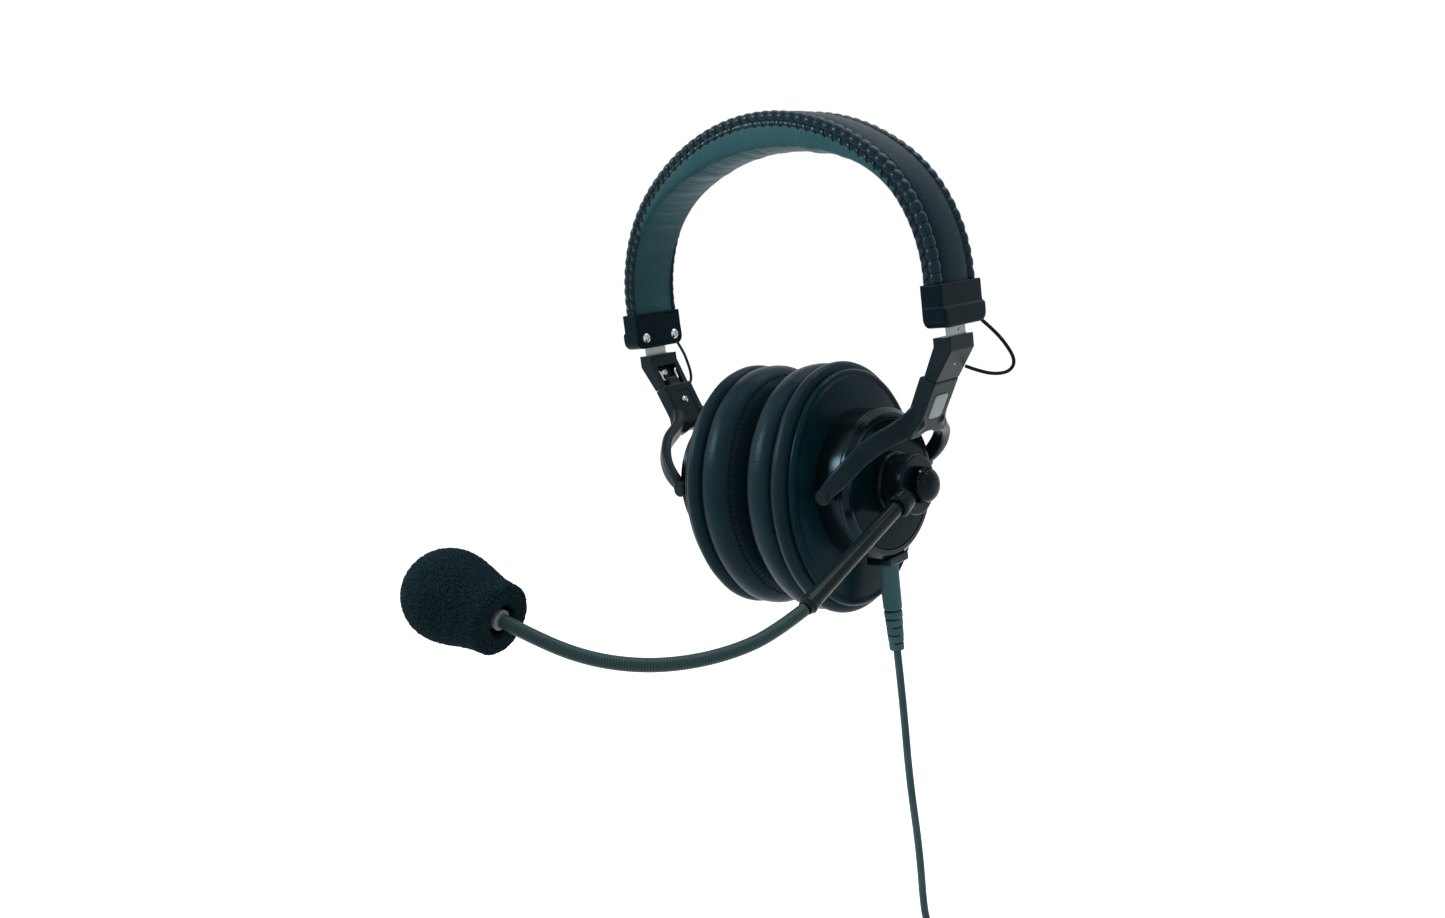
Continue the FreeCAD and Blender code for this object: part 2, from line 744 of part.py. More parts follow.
def yoke_arm():
    """Front arm: a loft that sweeps from the stem round the can to the pivot."""
    v = FreeCAD.Vector
    wide, thick, knuckle = float(S.arm_wide), float(S.arm_thick), float(S.pivot_knuckle)
    out, far_out = float(S.pivot_out), float(S.hinge_out)
    low, high = float(S.cup_up), float(S.hinge_up)
    middle = float(S.pivot_near + S.pivot_far) / 2

    def spot(outward, forward, upward):
        """A point by its shares of the way from the cup's axis to the hinge and to the front."""
        return v(out + outward * (far_out - out), -forward * middle, low + upward * (high - low))

    end = v(out, -middle, float(S.pivot_up))
    spots = [(spot(0.828, 0.184, 0.652), v(0.88, -0.05, 0.46), wide * 1.16, thick),
             (spot(0.681, 0.385, 0.542), v(0.84, -0.3, 0.45), wide * 1.06, thick),
             (spot(0.575, 0.623, 0.480), v(0.78, -0.5, 0.38), wide * 1.02, thick),
             (spot(0.446, 0.810, 0.390), v(0.72, -0.6, 0.35), wide, thick * 0.97),
             (spot(0.271, 0.950, 0.244), v(0.66, -0.68, 0.32), wide * 0.94, thick * 0.93),
             (spot(0.135, 0.992, 0.150), v(0.6, -0.76, 0.25), wide * 0.88, thick * 0.9),
             (end + v(1.2, 0, 1.6), v(0.6, -0.76, 0.2), knuckle * 1.75, thick * 0.9)]
    sections = []
    for i, (centre, outward, width, deep) in enumerate(spots):
        before = spots[max(i - 1, 0)][0]
        after = spots[min(i + 1, len(spots) - 1)][0]
        sections.append(section_of(centre, after - before, outward, width, deep))
    return Part.makeLoft(sections, True, False)


def yoke_pieces():
    deep, low_deep, long, step = S.block_foot, S.stem_low_deep, S.stem_long, S.stem_step
    stem = plate_of("left_yoke_stem", "XZ_Plane",
                    [(-step, -S.parting), (-step, 5.0 - long), (0.3, -long), (low_deep, -long),
                     (deep, -S.parting)],
                    2 * S.stem_low_half, midplane=True)
    trim = new_sketch(stem, "YZ_Plane", -step - 1)
    wide, narrow, top, foot = S.stem_low_half + 1, S.stem_top_half, -S.parting, -long
    low_half, rise = S.stem_low_half, foot + 4.0
    flare = (S.stem_flare * S.stem_flare / (low_half - narrow) + (low_half - narrow)) / 2
    outline(trim, [(narrow, top + 1), (narrow, rise + S.stem_flare), (low_half, rise, flare, 1),
                   (wide, rise), (wide, top + 1)])
    outline(trim, [(-wide, top + 1), (-wide, rise), (-low_half, rise),
                   (-narrow, rise + S.stem_flare, flare, 1), (-narrow, top + 1)])
    pocket(stem, trim, deep + step + 3, back=True)
    arch = new_sketch(stem, "YZ_Plane", -step - 1)
    outline(arch, [(-7.0, foot - 1, 10.7, 1), (7.0, foot - 1), (0, foot + 1.4, 10.7, 1)])
    pocket(stem, arch, deep + step + 3, back=True)
    tongue = new_sketch(stem, "XZ_Plane")
    r, mid, high = S.tongue_round, S.bail_inset, S.bail_low
    outline(tongue, [(mid + r, -S.parting - 0.5), (mid + r, high), (mid, high + r, r, 1),
                     (mid - r, high, r, 1), (mid - r, -S.parting - 0.5)])
    pad(stem, tongue, S.tongue_wide, midplane=True)
    bore = new_sketch(stem, "XZ_Plane")
    ring(bore, mid, high, S.bail_wire / 2 + 0.03)
    pocket(stem, bore, S.tongue_wide + 1, midplane=True)
    seat = new_sketch(stem, "YZ_Plane", -step - 1)
    outline(seat, box_corners(S.insert_wide / 2 + 0.05, -S.insert_drop - S.insert_tall - 0.05,
                              -S.insert_drop + 0.05, as_size(1.0)))
    pocket(stem, seat, S.insert_thick + 1.3, back=True)
    lean_place(stem)

    arm = by_code("left_yoke_front_arm", yoke_arm())
    rear = mirrored("left_yoke_rear_arm", arm, Y_AXIS)
    ends, bores = [], []
    for hand in (-1, 1):
        knuckle = cylinder(f"left_knuckle{hand + 2}", S.pivot_knuckle, S.pivot_far - S.pivot_near)
        start = S.pivot_near if hand > 0 else -S.pivot_far
        place(knuckle, (S.pivot_out, start, S.pivot_up), X_AXIS, -90)
        ends.append(knuckle)
        hole = cylinder(f"left_pivot_hole{hand + 2}", S.pivot_pin / 2 + 0.05, S.pivot_deep + 2.5)
        start = S.pivot_near - 4 if hand > 0 else -S.pivot_far + 1.5
        place(hole, (S.pivot_out, start, S.pivot_up), X_AXIS, -90)
        bores.append(hole)
    whole = fuse("left_yoke", [stem, arm, rear] + ends)
    badge_tilt = S.lean + 1.9
    badge_cut = badge("left_badge_seat", 0.05)
    face_place(badge_cut, badge_tilt)
    hollow = fuse("left_yoke_hollows", bores + [badge_cut])
    both_sides("yoke", cut("left_yoke", whole, hollow))

    plate = badge("left_badge", 0.0)
    face_place(plate, badge_tilt)
    both_sides("badge_plate", plate)

    insert = plate_of("left_insert", "YZ_Plane",
                      box_corners(S.insert_wide / 2, -S.insert_drop - S.insert_tall, -S.insert_drop,
                                  as_size(1.0)), S.insert_thick, 0.3 - step)
    screw_level = -S.insert_drop - 4.6
    hole = new_sketch(insert, "YZ_Plane", -step)
    ring(hole, 0, screw_level, 0.95)
    pocket(insert, hole, S.insert_thick + 2, back=True)
    lean_place(insert)
    both_sides("yoke_insert", insert)

    screw = cross_screw("left_yoke_screw", 1.7, 0.8, 0.9, S.insert_thick)
    lean_put(screw, 0.3 - step, screw_level, -90)
    both_sides("yoke_screw", screw)


def badge(name, grow):
    return plate_of(name, "YZ_Plane",
                    box_corners(S.badge_wide / 2 + grow, -S.badge_tall / 2 - grow,
                                S.badge_tall / 2 + grow, as_size(1.6)),
                    S.badge_thick + grow, -S.badge_thick / 2 - grow)


def face_place(thing, tilt):
    """Place a plate on the outer face of the yoke's stem."""
    side, up = sine(S.lean), cosine(S.lean)
    slope = (S.block_foot - S.stem_low_deep) / S.stem_long
    x = S.block_foot - slope * S.badge_drop
    z = -S.badge_drop
    place(thing, (S.hinge_out + x * up + z * side, as_size(0.0), S.hinge_up - x * side + z * up),
          Y_AXIS, tilt)
    bind(thing, "Placement.Rotation.Angle", tilt)


# Ear cups

def oval(half_wide, half_tall, up):
    """Corners of an upright oval of four arcs, drawn from its side point."""
    end = half_wide - S.oval_less
    rise = half_tall - end
    side = (half_wide * half_wide + rise * rise - end * end) / (2 * S.oval_less)
    share = side / (side - end)
    y = half_wide - side + (side - half_wide) * share
    z = rise * share
    return [(half_wide, up, side, 1), (y, up + z, side, 1), (-y, up + z, end, 1),
            (-y, up - z, side, 1), (y, up - z, end, 1)]


def along_x(thing, out, up, turn=90):
    """Lay a turned piece on the X axis, its own Z pointing outward."""
    place(thing, (out, as_size(0.0), up), Y_AXIS, turn)


def can_form(name):
    r, deep, wall = S.can_radius, S.can_deep, S.can_wall
    floor = deep - S.face_recess
    can = turned(name, [(0, floor), (S.face_radius + 0.1, floor), (S.face_radius + 0.1, deep),
                        (r - S.can_bevel, deep), (r, deep - S.can_bevel * 1.2), (r, 0),
                        (r - wall, 0), (r - wall, floor - wall), (0, floor - wall)])
    along_x(can, S.can_back, S.cup_up)
    return can


def pin_holes(name):
    holes = []
    for hand in (-1, 1):
        hole = cylinder(f"{name}{hand + 2}", S.pivot_pin / 2, S.can_wall + 4)
        start = S.can_radius - S.can_wall - 2 if hand > 0 else -S.can_radius - 2
        place(hole, (S.pivot_out, start, S.pivot_up), X_AXIS, -90)
        holes.append(hole)
    return fuse(name, holes)


def cup_pieces():
    lug = box("cable_lug", as_size(11.0), as_size(13.0), S.lug_drop - S.can_radius + 3)
    place(lug, (S.cable_out - 5.5, as_size(-6.5), S.cup_up - S.lug_drop))
    lug_bore = cylinder("cable_lug_bore", S.cord / 2, S.lug_drop)
    place(lug_bore, (S.cable_out, as_size(0.0), S.cup_up - S.lug_drop - 1))
    inside = cylinder("can_inside", S.can_radius - S.can_wall, S.can_deep - S.face_recess - S.can_wall)
    along_x(inside, S.can_back, S.cup_up)
    hub_hole = cylinder("hub_hole", S.stud / 2 + 0.02, as_size(9.0))
    along_x(hub_hole, S.can_back + S.can_deep - 8, S.cup_up)
    lug_only = cut("cable_lug", lug, inside)
    left = fuse("left_can_with_lug", [can_form("left_can"), lug_only])
    hollow = fuse("left_can_holes", [pin_holes("left_pin_hole"), lug_bore, hub_hole])
    sub_part("left_can", cut("left_can", left, hollow))
    right = cut("right_can_drilled", can_form("right_can"), pin_holes("right_pin_hole"))
    sub_part("right_can", mirrored("right_can", right))

    floor = S.can_deep - S.face_recess
    for name, bore in (("left_can_face", S.hub_radius + 0.1), ("right_can_face", as_size(0.0))):
        r = S.face_radius
        face = turned(name, [(bore, floor), (r, floor), (r, floor + 0.9), (r - 1.2, floor + 1.3),
                             (bore, floor + 1.3)])
        along_x(face, S.can_back, S.cup_up)
        sub_part(name, face if name.startswith("left") else mirrored(name, face))

    back = S.can_back - S.plate_thick
    plate = plate_of("left_rim_plate", "YZ_Plane",
                     oval(S.plate_half_wide, S.plate_half_tall, S.plate_up)[1:], S.plate_thick, back)
    dress(plate, "Fillet", S.plate_round, lambda e: abs(e.CenterOfMass.x - float(S.can_back)) < 0.01
          or abs(e.CenterOfMass.x - float(back)) < 0.01)
    well = new_sketch(plate, "YZ_Plane", back)
    ring(well, 0, S.cup_up, S.driver_radius + 0.1)
    pocket(plate, well, S.plate_thick + 1)
    both_sides("rim_plate", plate)

    rear = S.driver_deep
    speaker = turned("left_speaker", [(0, 0), (S.driver_radius * 0.45, 0.6), (S.driver_radius, 0),
                                      (S.driver_radius, S.plate_thick), (S.driver_radius * 0.8, rear * 0.6),
                                      (S.driver_radius * 0.5, rear * 0.6), (S.driver_radius * 0.5, rear),
                                      (0, rear)])
    along_x(speaker, S.can_back - S.plate_thick, S.cup_up)
    both_sides("speaker", speaker)

    both_sides("ear_cushion", cushion_form())

    r = S.ear_half_wide - 0.4
    cloth = turned("left_grille", [(0, 1.6), (r, 0.9), (r, 0.1), (0, 0.1)])
    along_x(cloth, S.can_back - S.plate_thick, S.plate_up, -90)
    both_sides("speaker_grille", cloth)

    pins = []
    reach = S.pivot_far - S.can_radius + S.can_wall + 0.4
    for hand in (-1, 1):
        pin = turned(f"left_pin{hand + 2}",
                     [(0, 1.6), (S.pivot_pin / 2 - 0.3, 1.6), (S.pivot_pin / 2, 1.9),
                      (S.pivot_pin / 2, reach), (S.pivot_pin * 0.9, reach),
                      (S.pivot_pin * 0.9, reach + 1.0), (0, reach + 1.0)])
        place(pin, (S.pivot_out, hand * S.pivot_far, S.pivot_up), X_AXIS, 90 * hand)
        pins.append(pin)
    both_sides("pivot_pins", group("left_pivot_pins", pins))


def cushion_form():
    """Oval ear cushion: one section of two lobes carried round an oval of four arcs."""
    out, deep = S.cushion_half_wide, S.cushion_deep
    taller = S.plate_half_tall - S.plate_half_wide
    hole = S.ear_half_wide
    face = S.can_back - S.plate_thick
    body = new_body("left_ear_cushion")
    spine = new_sketch(body, "YZ_Plane", face)
    outline(spine, oval(out, out + taller, S.plate_up))
    section = new_sketch(body, "XY_Plane", S.plate_up)
    outline(section, [(face, hole), (face, out - 2.0), (face - 7.6, out - 4.4, 4.2, 1),
                      (face - deep + 2.3, out - 5.0, 8.9, 1),
                      (face - deep + 6.9, hole + 1.2, 13.7, 1), (face - 5.0, hole)])
    made = body.newObject("PartDesign::AdditivePipe", "left_cushion_sweep")
    made.Profile = section
    made.Spine = (spine, [f"Edge{i}" for i in range(1, 6)])
    spine.Visibility = False
    section.Visibility = False
    return body


# Microphone boom

def boom_point(radius):
    """A point on the boom's line, at a distance from the hub's axis."""
    return (S.boom_plane, -radius * cosine(S.boom_drop), S.cup_up - radius * sine(S.boom_drop))


def along_boom(thing, radius):
    """Lay a turned piece on the boom's line, its own Z pointing to the mouth."""
    place(thing, boom_point(radius), X_AXIS, 90 + float(S.boom_drop))
    bind(thing, "Placement.Rotation.Angle", 90 + S.boom_drop)


def boom_pieces():
    seat = S.can_back + S.can_deep - S.face_recess
    stud_long = S.hub_deep + S.clamp_deep + 5.5
    r = S.hub_radius
    hub = turned("boom_hub", [(0, -3), (S.stud / 2, -3), (S.stud / 2, 0), (r, 0), (r, S.hub_deep - 2.2),
                              (r - 0.8, S.hub_deep - 1.4), (r - 2.6, S.hub_deep - 1.4),
                              (r - 2.6, S.hub_deep), (S.stud / 2, S.hub_deep), (S.stud / 2, stud_long),
                              (0, stud_long)])
    along_x(hub, seat, S.cup_up)
    sub_part("boom_hub", hub)

    start = seat + S.hub_deep + 0.2
    disc = turned("boom_clamp_disc", [(S.stud / 2 + 0.05, 0), (S.clamp_radius - 0.8, 0),
                                      (S.clamp_radius, 0.8), (S.clamp_radius, S.clamp_deep - 1.2),
                                      (S.clamp_radius - 1.2, S.clamp_deep), (S.stud / 2 + 0.05, S.clamp_deep)])
    along_x(disc, start, S.cup_up)
    socket = plate_of("boom_socket", "XY_Plane",
                      box_corners(as_size(4.2), as_size(-5.4), as_size(5.4), as_size(2.0)),
                      S.socket_end - 8)
    place(socket, boom_point(as_size(8.0)), X_AXIS, 90 + float(S.boom_drop))
    bind(socket, "Placement.Rotation.Angle", 90 + S.boom_drop)
    clear = cylinder("clamp_bore", S.stud / 2 + 0.05, S.clamp_deep + 4)
    along_x(clear, start - 2, S.cup_up)
    bore = cylinder("boom_socket_bore", S.boom_tube / 2 + 0.02, S.socket_end)
    along_boom(bore, as_size(11.0))
    whole = fuse("boom_clamp", [disc, socket])
    sub_part("boom_clamp", cut("boom_clamp", whole, fuse("clamp_bores", [clear, bore])))

    long = S.boom_end - 11
    rod = turned("boom_tube", [(S.boom_bore / 2, 0), (S.boom_tube / 2, 0), (S.boom_tube / 2, long),
                               (S.boom_bore / 2, long)])
    along_boom(rod, as_size(11.0))
    sub_part("boom_tube", rod)

    w, n = S.ferrule_wide / 2, S.ferrule_long
    inside = S.boom_tube / 2 + 0.02
    ferrule = turned("boom_ferrule", [(inside, -2.5), (w - 0.6, -2.5), (w, -1.9), (w, n - 3.4),
                                      (w - 0.7, n - 2.5), (0, n - 2.5), (0, 0.02), (inside, 0.02)])
    along_boom(ferrule, S.boom_end)
    sub_part("boom_ferrule", ferrule)

    top = start + S.clamp_deep + 0.15
    k, tall = S.knob_radius, S.knob_tall
    brow, rise = k - 0.7, tall * 0.45
    dome = (brow * brow + rise * rise) / (2 * rise)
    knob = turned("boom_knob_blank", [(0, 5.6), (S.stud / 2 + 0.05, 5.6), (S.stud / 2 + 0.05, 0), (k, 0),
                                      (k, tall * 0.45), (brow, tall - rise), (0, tall, dome, 1)])
    flutes = new_sketch(knob, "XY_Plane", 0)
    ring(flutes, k + 0.35, 0, 0.8)
    groove = pocket(knob, flutes, tall * 0.45, back=True)
    teeth = knob.newObject("PartDesign::PolarPattern", "knob_flutes")
    teeth.Originals = [groove]
    teeth.Axis = (flutes, ["N_Axis"])
    teeth.Angle = 360
    teeth.Occurrences = 26
    knob.Tip = teeth
    along_x(knob, top, S.cup_up)
    sub_part("boom_knob", knob)


NECK = [(57.6, -94.0, -174.4), (53.4, -109.6, -176.2), (46.6, -125.2, -176.0),
        (38.0, -139.4, -173.6), (27.6, -151.6, -168.6), (15.6, -160.4, -161.6),
        (2.0, -166.0, -154.0)]
MIC_TURN = (-0.92, -0.17, 0.31)     # the way the microphone points


def mic_pieces():
    start = tuple(float(v) for v in boom_point(S.boom_end + S.ferrule_long - 2.1))
    sub_part("gooseneck", tube("gooseneck", [start] + NECK, S.neck_wide))

    end = NECK[-1]
    w = S.mic_wide / 2
    collar = turned("mic_collar", [(0, 0.7), (w * 0.8, 0.7), (w * 0.8, 2.2), (0, 2.2)])
    holder = turned("mic_holder", [(0, 2.2), (w * 0.8, 2.2), (w, 4.4), (w, S.mic_long),
                                   (w - 1.0, S.mic_long), (w - 1.0, 8.0), (0, 8.0)])
    capsule = turned("mic_capsule", [(0, 8.0), (w - 1.0, 8.0), (w - 1.0, S.mic_long - 1),
                                     (w - 2.0, S.mic_long - 0.4), (0, S.mic_long - 0.4)])
    long, rear = S.foam_long, S.foam_rear / 2
    wide, hole = S.foam_wide / 2, S.foam_hole / 2
    centre = long - wide            # the bulb is round about this point
    lean = as_size(24.0)
    foam = turned("foam_windscreen",
                  [(w, 6.0), (hole, 3.4), (hole, 0), (rear - 2.2, 0), (rear, 2.2, 2.2, 1),
                   (rear - 0.1, 6.0), (wide * cosine(lean), centre - wide * sine(lean), 27.0, -1),
                   (0, long, wide, 1), (0, S.mic_long + 0.1), (w, S.mic_long + 0.1)])
    for name, thing in (("mic_collar", collar), ("mic_holder", holder), ("mic_capsule", capsule),
                        ("foam_windscreen", foam)):
        turn = FreeCAD.Rotation(Z_AXIS, FreeCAD.Vector(*MIC_TURN))
        thing.Placement = FreeCAD.Placement(FreeCAD.Vector(*end), turn)
        sub_part(name, thing)


# Leads and cable

# Route of the lead: outward from the band's outer face, back from its middle, and height
LEAD = [(-2.2, 14.9, -76.4), (0.4, 21.5, -82.5), (3.4, 27.0, -90.5), (5.4, 30.5, -97.5),
        (4.4, 28.0, -101.8), (0.9, 20.5, -101.6), (-3.6, 13.5, -98.2), (-6.1, 9.8, -95.3)]
CORD = [(41.0, 0.0, -213.9), (41.7, -0.6, -240.0), (40.2, 0.3, -272.0), (41.6, 0.4, -306.0),
        (41.0, 0.0, -334.0), (41.0, 0.0, -352.0)]


def lead_pieces():
    spots = [(float(S.band_half_span) + x, y, z) for x, y, z in LEAD]
    both_sides("strip_lead", tube("left_strip_lead", spots, 1.6))


def cable_pieces():
    w, barrel, ribs = S.relief_wide / 2, S.relief_barrel, S.relief_ribs
    top = S.cup_up - S.lug_drop
    corners = [(S.cord / 2, 0), (w, 0), (w * 0.97, -barrel)]
    step = ribs / 5
    for i in range(5):
        level = -barrel - step * i
        wide = w - (w - S.cord / 2 - 0.7) * (i / 5)
        corners += [(wide - 0.8, level - 0.05), (wide - 0.8, level - step * 0.35),
                    (wide, level - step * 0.4), (wide - 0.1, level - step * 0.95)]
    corners += [(S.cord / 2, -barrel - ribs)]
    relief = turned("strain_relief", corners)
    place(relief, (S.cable_out, as_size(0.0), top))
    sub_part("strain_relief", relief)

    low = float(top - barrel - ribs)
    route = [(CORD[0][0], CORD[0][1], low)] + CORD[1:-1] + [(CORD[-1][0], CORD[-1][1], float(S.hank_top))]
    sub_part("cord", tube("cord", route, S.cord))

    hank = plate_of("cord_hank", "XZ_Plane",
                    box_corners(S.hank_wide / 2, -S.hank_tall, as_size(0.0), as_size(12.0)),
                    S.hank_deep, midplane=True)
    doc.recompute()
    dress(hank, "Fillet", 4.0, lambda e: abs(abs(e.CenterOfMass.y) - float(S.hank_deep) / 2) < 0.01)
    place(hank, (S.cable_out, as_size(0.0), S.hank_top))
    sub_part("cord_hank", hank)

    fit, thick = 0.05, S.tie_thick
    tie = plate_of("hank_tie", "XY_Plane",
                   box_corners(S.hank_wide / 2 + fit + thick, -S.hank_deep / 2 - fit - thick,
                               S.hank_deep / 2 + fit + thick, 4.0 + fit + thick), S.tie_tall)
    room = new_sketch(tie, "XY_Plane")
    outline(room, box_corners(S.hank_wide / 2 + fit, -S.hank_deep / 2 - fit,
                              S.hank_deep / 2 + fit, as_size(4.0 + fit)))
    pocket(tie, room, S.tie_tall + 1)
    place(tie, (S.cable_out, as_size(0.0), S.hank_top - S.hank_tall / 2 - S.tie_tall / 2))
    sub_part("hank_tie", tie)

    x, y, z = (float(v) for v in plug_at())
    low = float(S.hank_top)
    sub_part("plug_cord", tube("plug_cord", [(x, 4.6, low), (x, 4.6, low + 5.0), (x, y, low + 5.0), (x, y, z)],
                               S.cord))

    p, long = S.plug_wide / 2, S.plug_long
    shell = turned("plug_shell", [(0, 0), (S.cord / 2 + 0.8, 0), (p * 0.8, -8), (p, -10), (p, -long + 1),
                                  (p - 0.6, -long), (0, -long)])
    place(shell, plug_at())
    sub_part("plug_shell", shell)
    q, tip = S.plug_pin / 2, S.plug_pin_long
    pin = turned("plug_pin", [(0, 0), (q, 0), (q, -tip + 9), (q - 0.9, -tip + 7.6), (q - 0.9, -tip + 6.6),
                              (q - 0.2, -tip + 4), (0.8, -tip), (0, -tip)])
    x, y, z = plug_at()
    place(pin, (x, y, z - long))
    sub_part("plug_pin", pin)


def plug_at():
    aside = S.hank_deep / 2 + 0.1 + S.tie_thick + S.plug_wide / 2
    return S.cable_out, aside, S.hank_top - 14


def write_parts():
    doc.recompute()
    bad = [o.Name for o in doc.Objects if "Invalid" in o.State or "Error" in o.State]
    bad += [n for n, o in PARTS.items() if o.Shape.isNull() or not o.Shape.isValid()]
    if bad:
        raise SystemExit("not sound: " + ", ".join(sorted(set(bad))))
    os.makedirs("parts", exist_ok=True)
    for name, thing in PARTS.items():
        thing.Shape.exportStep(f"parts/{name}.step")
    total = sum(o.Shape.Volume for o in PARTS.values())
    print(f"{len(PARTS)} pieces, {total:.0f} cubic millimetres of material")


band_pieces()
end_pieces()
hinge_pieces()
yoke_pieces()
cup_pieces()
boom_pieces()
mic_pieces()
lead_pieces()
cable_pieces()
write_parts()
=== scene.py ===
import json
import math

import bmesh
import bpy
from mathutils import Matrix, Vector, noise
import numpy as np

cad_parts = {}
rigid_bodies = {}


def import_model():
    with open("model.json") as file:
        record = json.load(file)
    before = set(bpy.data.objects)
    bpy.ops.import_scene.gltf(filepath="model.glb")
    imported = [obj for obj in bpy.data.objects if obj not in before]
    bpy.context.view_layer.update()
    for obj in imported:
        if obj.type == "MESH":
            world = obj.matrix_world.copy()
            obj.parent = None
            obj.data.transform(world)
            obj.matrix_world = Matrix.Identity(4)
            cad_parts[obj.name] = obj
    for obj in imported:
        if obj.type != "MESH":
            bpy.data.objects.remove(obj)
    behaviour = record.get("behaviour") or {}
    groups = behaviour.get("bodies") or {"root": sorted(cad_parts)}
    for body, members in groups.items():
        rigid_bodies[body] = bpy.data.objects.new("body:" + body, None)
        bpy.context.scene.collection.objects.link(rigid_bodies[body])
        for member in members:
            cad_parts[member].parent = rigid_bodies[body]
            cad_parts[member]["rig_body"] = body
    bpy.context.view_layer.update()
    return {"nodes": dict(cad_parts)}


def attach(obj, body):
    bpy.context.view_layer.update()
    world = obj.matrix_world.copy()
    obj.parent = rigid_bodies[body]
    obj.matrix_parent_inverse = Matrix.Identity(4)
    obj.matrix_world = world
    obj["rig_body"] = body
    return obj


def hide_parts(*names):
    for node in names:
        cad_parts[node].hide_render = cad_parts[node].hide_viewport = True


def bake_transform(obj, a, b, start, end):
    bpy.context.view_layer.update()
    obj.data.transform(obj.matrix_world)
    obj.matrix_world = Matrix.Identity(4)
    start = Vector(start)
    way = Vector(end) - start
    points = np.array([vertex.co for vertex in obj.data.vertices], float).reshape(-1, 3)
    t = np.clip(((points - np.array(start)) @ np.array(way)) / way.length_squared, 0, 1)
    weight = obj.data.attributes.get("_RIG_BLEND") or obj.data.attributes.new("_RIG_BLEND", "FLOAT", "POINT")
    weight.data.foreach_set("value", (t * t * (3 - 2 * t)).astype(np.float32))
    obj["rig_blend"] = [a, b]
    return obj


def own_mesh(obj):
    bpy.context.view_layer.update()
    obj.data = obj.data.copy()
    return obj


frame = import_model()


# The photographer's camera, in front of the wearer's left cup and a little above it.  It is turned to
# the headset, tipped down by 9 degrees and rolled by 7.
view = bpy.data.cameras.new("photo_view")
view.sensor_width = 36.0
view.lens = 27.906
camera = bpy.data.objects.new("photo_view", view)
bpy.context.scene.collection.objects.link(camera)
camera.matrix_world = (Matrix.Translation((0.31417, -0.37169, -0.05004))
                       @ Matrix.Rotation(math.radians(44.248), 4, "Z")
                       @ Matrix.Rotation(math.radians(80.91), 4, "X")
                       @ Matrix.Rotation(math.radians(-7.165), 4, "Z"))
bpy.context.scene.camera = camera


# The cable leaves the foot of the left cup, hangs for a hand's length and more, and its spare length is
# folded into a tied hank.  It is round, black and soft.  All of it is one cord of 3.4 mm.
CORD_WIDTH = 0.0034
HANK_AT, HANK_TOP, HANK_FOOT = 41.0, -354.0, -412.0
WIDE_TURN, NARROW_TURN = 13.1, 9.7      # half widths of the outer and inner turns
HANG = [(41.0, 0.0, -213.9), (41.7, -0.6, -240.0), (40.2, 0.3, -272.0), (41.6, 0.4, -306.0),
        (41.0, 0.0, -334.0)]


def hank_turn(half_wide, top, foot, depth, step):
    """Control points of one turn: up the right run, over the top, down the left and round the foot."""
    mid, third = (top + foot) / 2, (top - foot) / 6
    w, e, d = half_wide, half_wide * 0.414, half_wide * 0.586
    spots = [(w, mid - third), (w, mid + third), (w, top - d), (e, top), (-e, top), (-w, top - d),
             (-w, mid + third), (-w, mid - third), (-w, foot + d), (-e, foot), (e, foot), (w, foot + d)]
    return [(HANK_AT + x, depth + step * i / len(spots), z) for i, (x, z) in enumerate(spots)]


# Each turn's half width, its depth and how far it steps on: four inner ones forward, four outer ones back.
LAYERS = [(NARROW_TURN, 6.6, -3.4), (NARROW_TURN, 3.2, -3.4), (NARROW_TURN, -0.2, -3.2),
          (NARROW_TURN, -3.4, -2.6), (WIDE_TURN, -6.6, 3.4), (WIDE_TURN, -3.2, 3.4), (WIDE_TURN, 0.2, 3.2),
          (WIDE_TURN, 3.4, 3.2)]
turns = []
for half_wide, depth, step in LAYERS:
    inset = WIDE_TURN - half_wide
    turns += hank_turn(half_wide, HANK_TOP - inset, HANK_FOOT + inset, depth, step)
into = [(40.4, 2.2, -341.5), (36.8, 6.6, -347.5), (32.2, 8.6, -354.0)]
out = [(54.1, 6.6, -378.0), (54.5, 7.6, -365.0), (55.3, 9.6, -352.9), (50.6, 11.2, -348.2),
       (43.9, 12.8, -348.2), (39.4, 14.3, -352.9), (41.0, 14.6, -361.0), (41.0, 14.6, -366.0)]
route = HANG + into + turns[5:] + out
line = bpy.data.curves.new("cable_line", "CURVE")
line.dimensions = "3D"
line.bevel_depth = CORD_WIDTH / 2
line.bevel_resolution = 3
line.resolution_u = 5
line.use_fill_caps = True
run = line.splines.new("NURBS")
run.points.add(len(route) - 1)
for spot, at in zip(run.points, route):
    spot.co = (at[0] / 1000, at[1] / 1000, at[2] / 1000, 1.0)
run.order_u = 3
run.use_endpoint_u = True
cable = bpy.data.objects.new("cable", line)
bpy.context.scene.collection.objects.link(cable)


def plain_finish(name, colour, rough, metal=0.0, coat=0.0, shine=0.07):
    """A material with its shader and output, ready for its own pattern."""
    made = bpy.data.materials.new(name)
    made.use_nodes = True
    shader = made.node_tree.nodes["Principled BSDF"]
    shader.inputs["Base Color"].default_value = (*colour, 1.0)
    shader.inputs["Roughness"].default_value = rough
    shader.inputs["Metallic"].default_value = metal
    shader.inputs["Coat Weight"].default_value = coat
    if metal < 1.0:
        shader.inputs["Specular IOR Level"].default_value = shine
        shader.inputs["Specular Tint"].default_value = (0.4, 0.8, 1.0, 1.0)
    return made, shader


def add_node(made, kind, **settings):
    node = made.node_tree.nodes.new(kind)
    for name, value in settings.items():
        if name in node.inputs:
            node.inputs[name].default_value = value
        else:
            setattr(node, name, value)
    return node


def wire(made, source, out, target, into):
    made.node_tree.links.new(source.outputs[out], target.inputs[into])


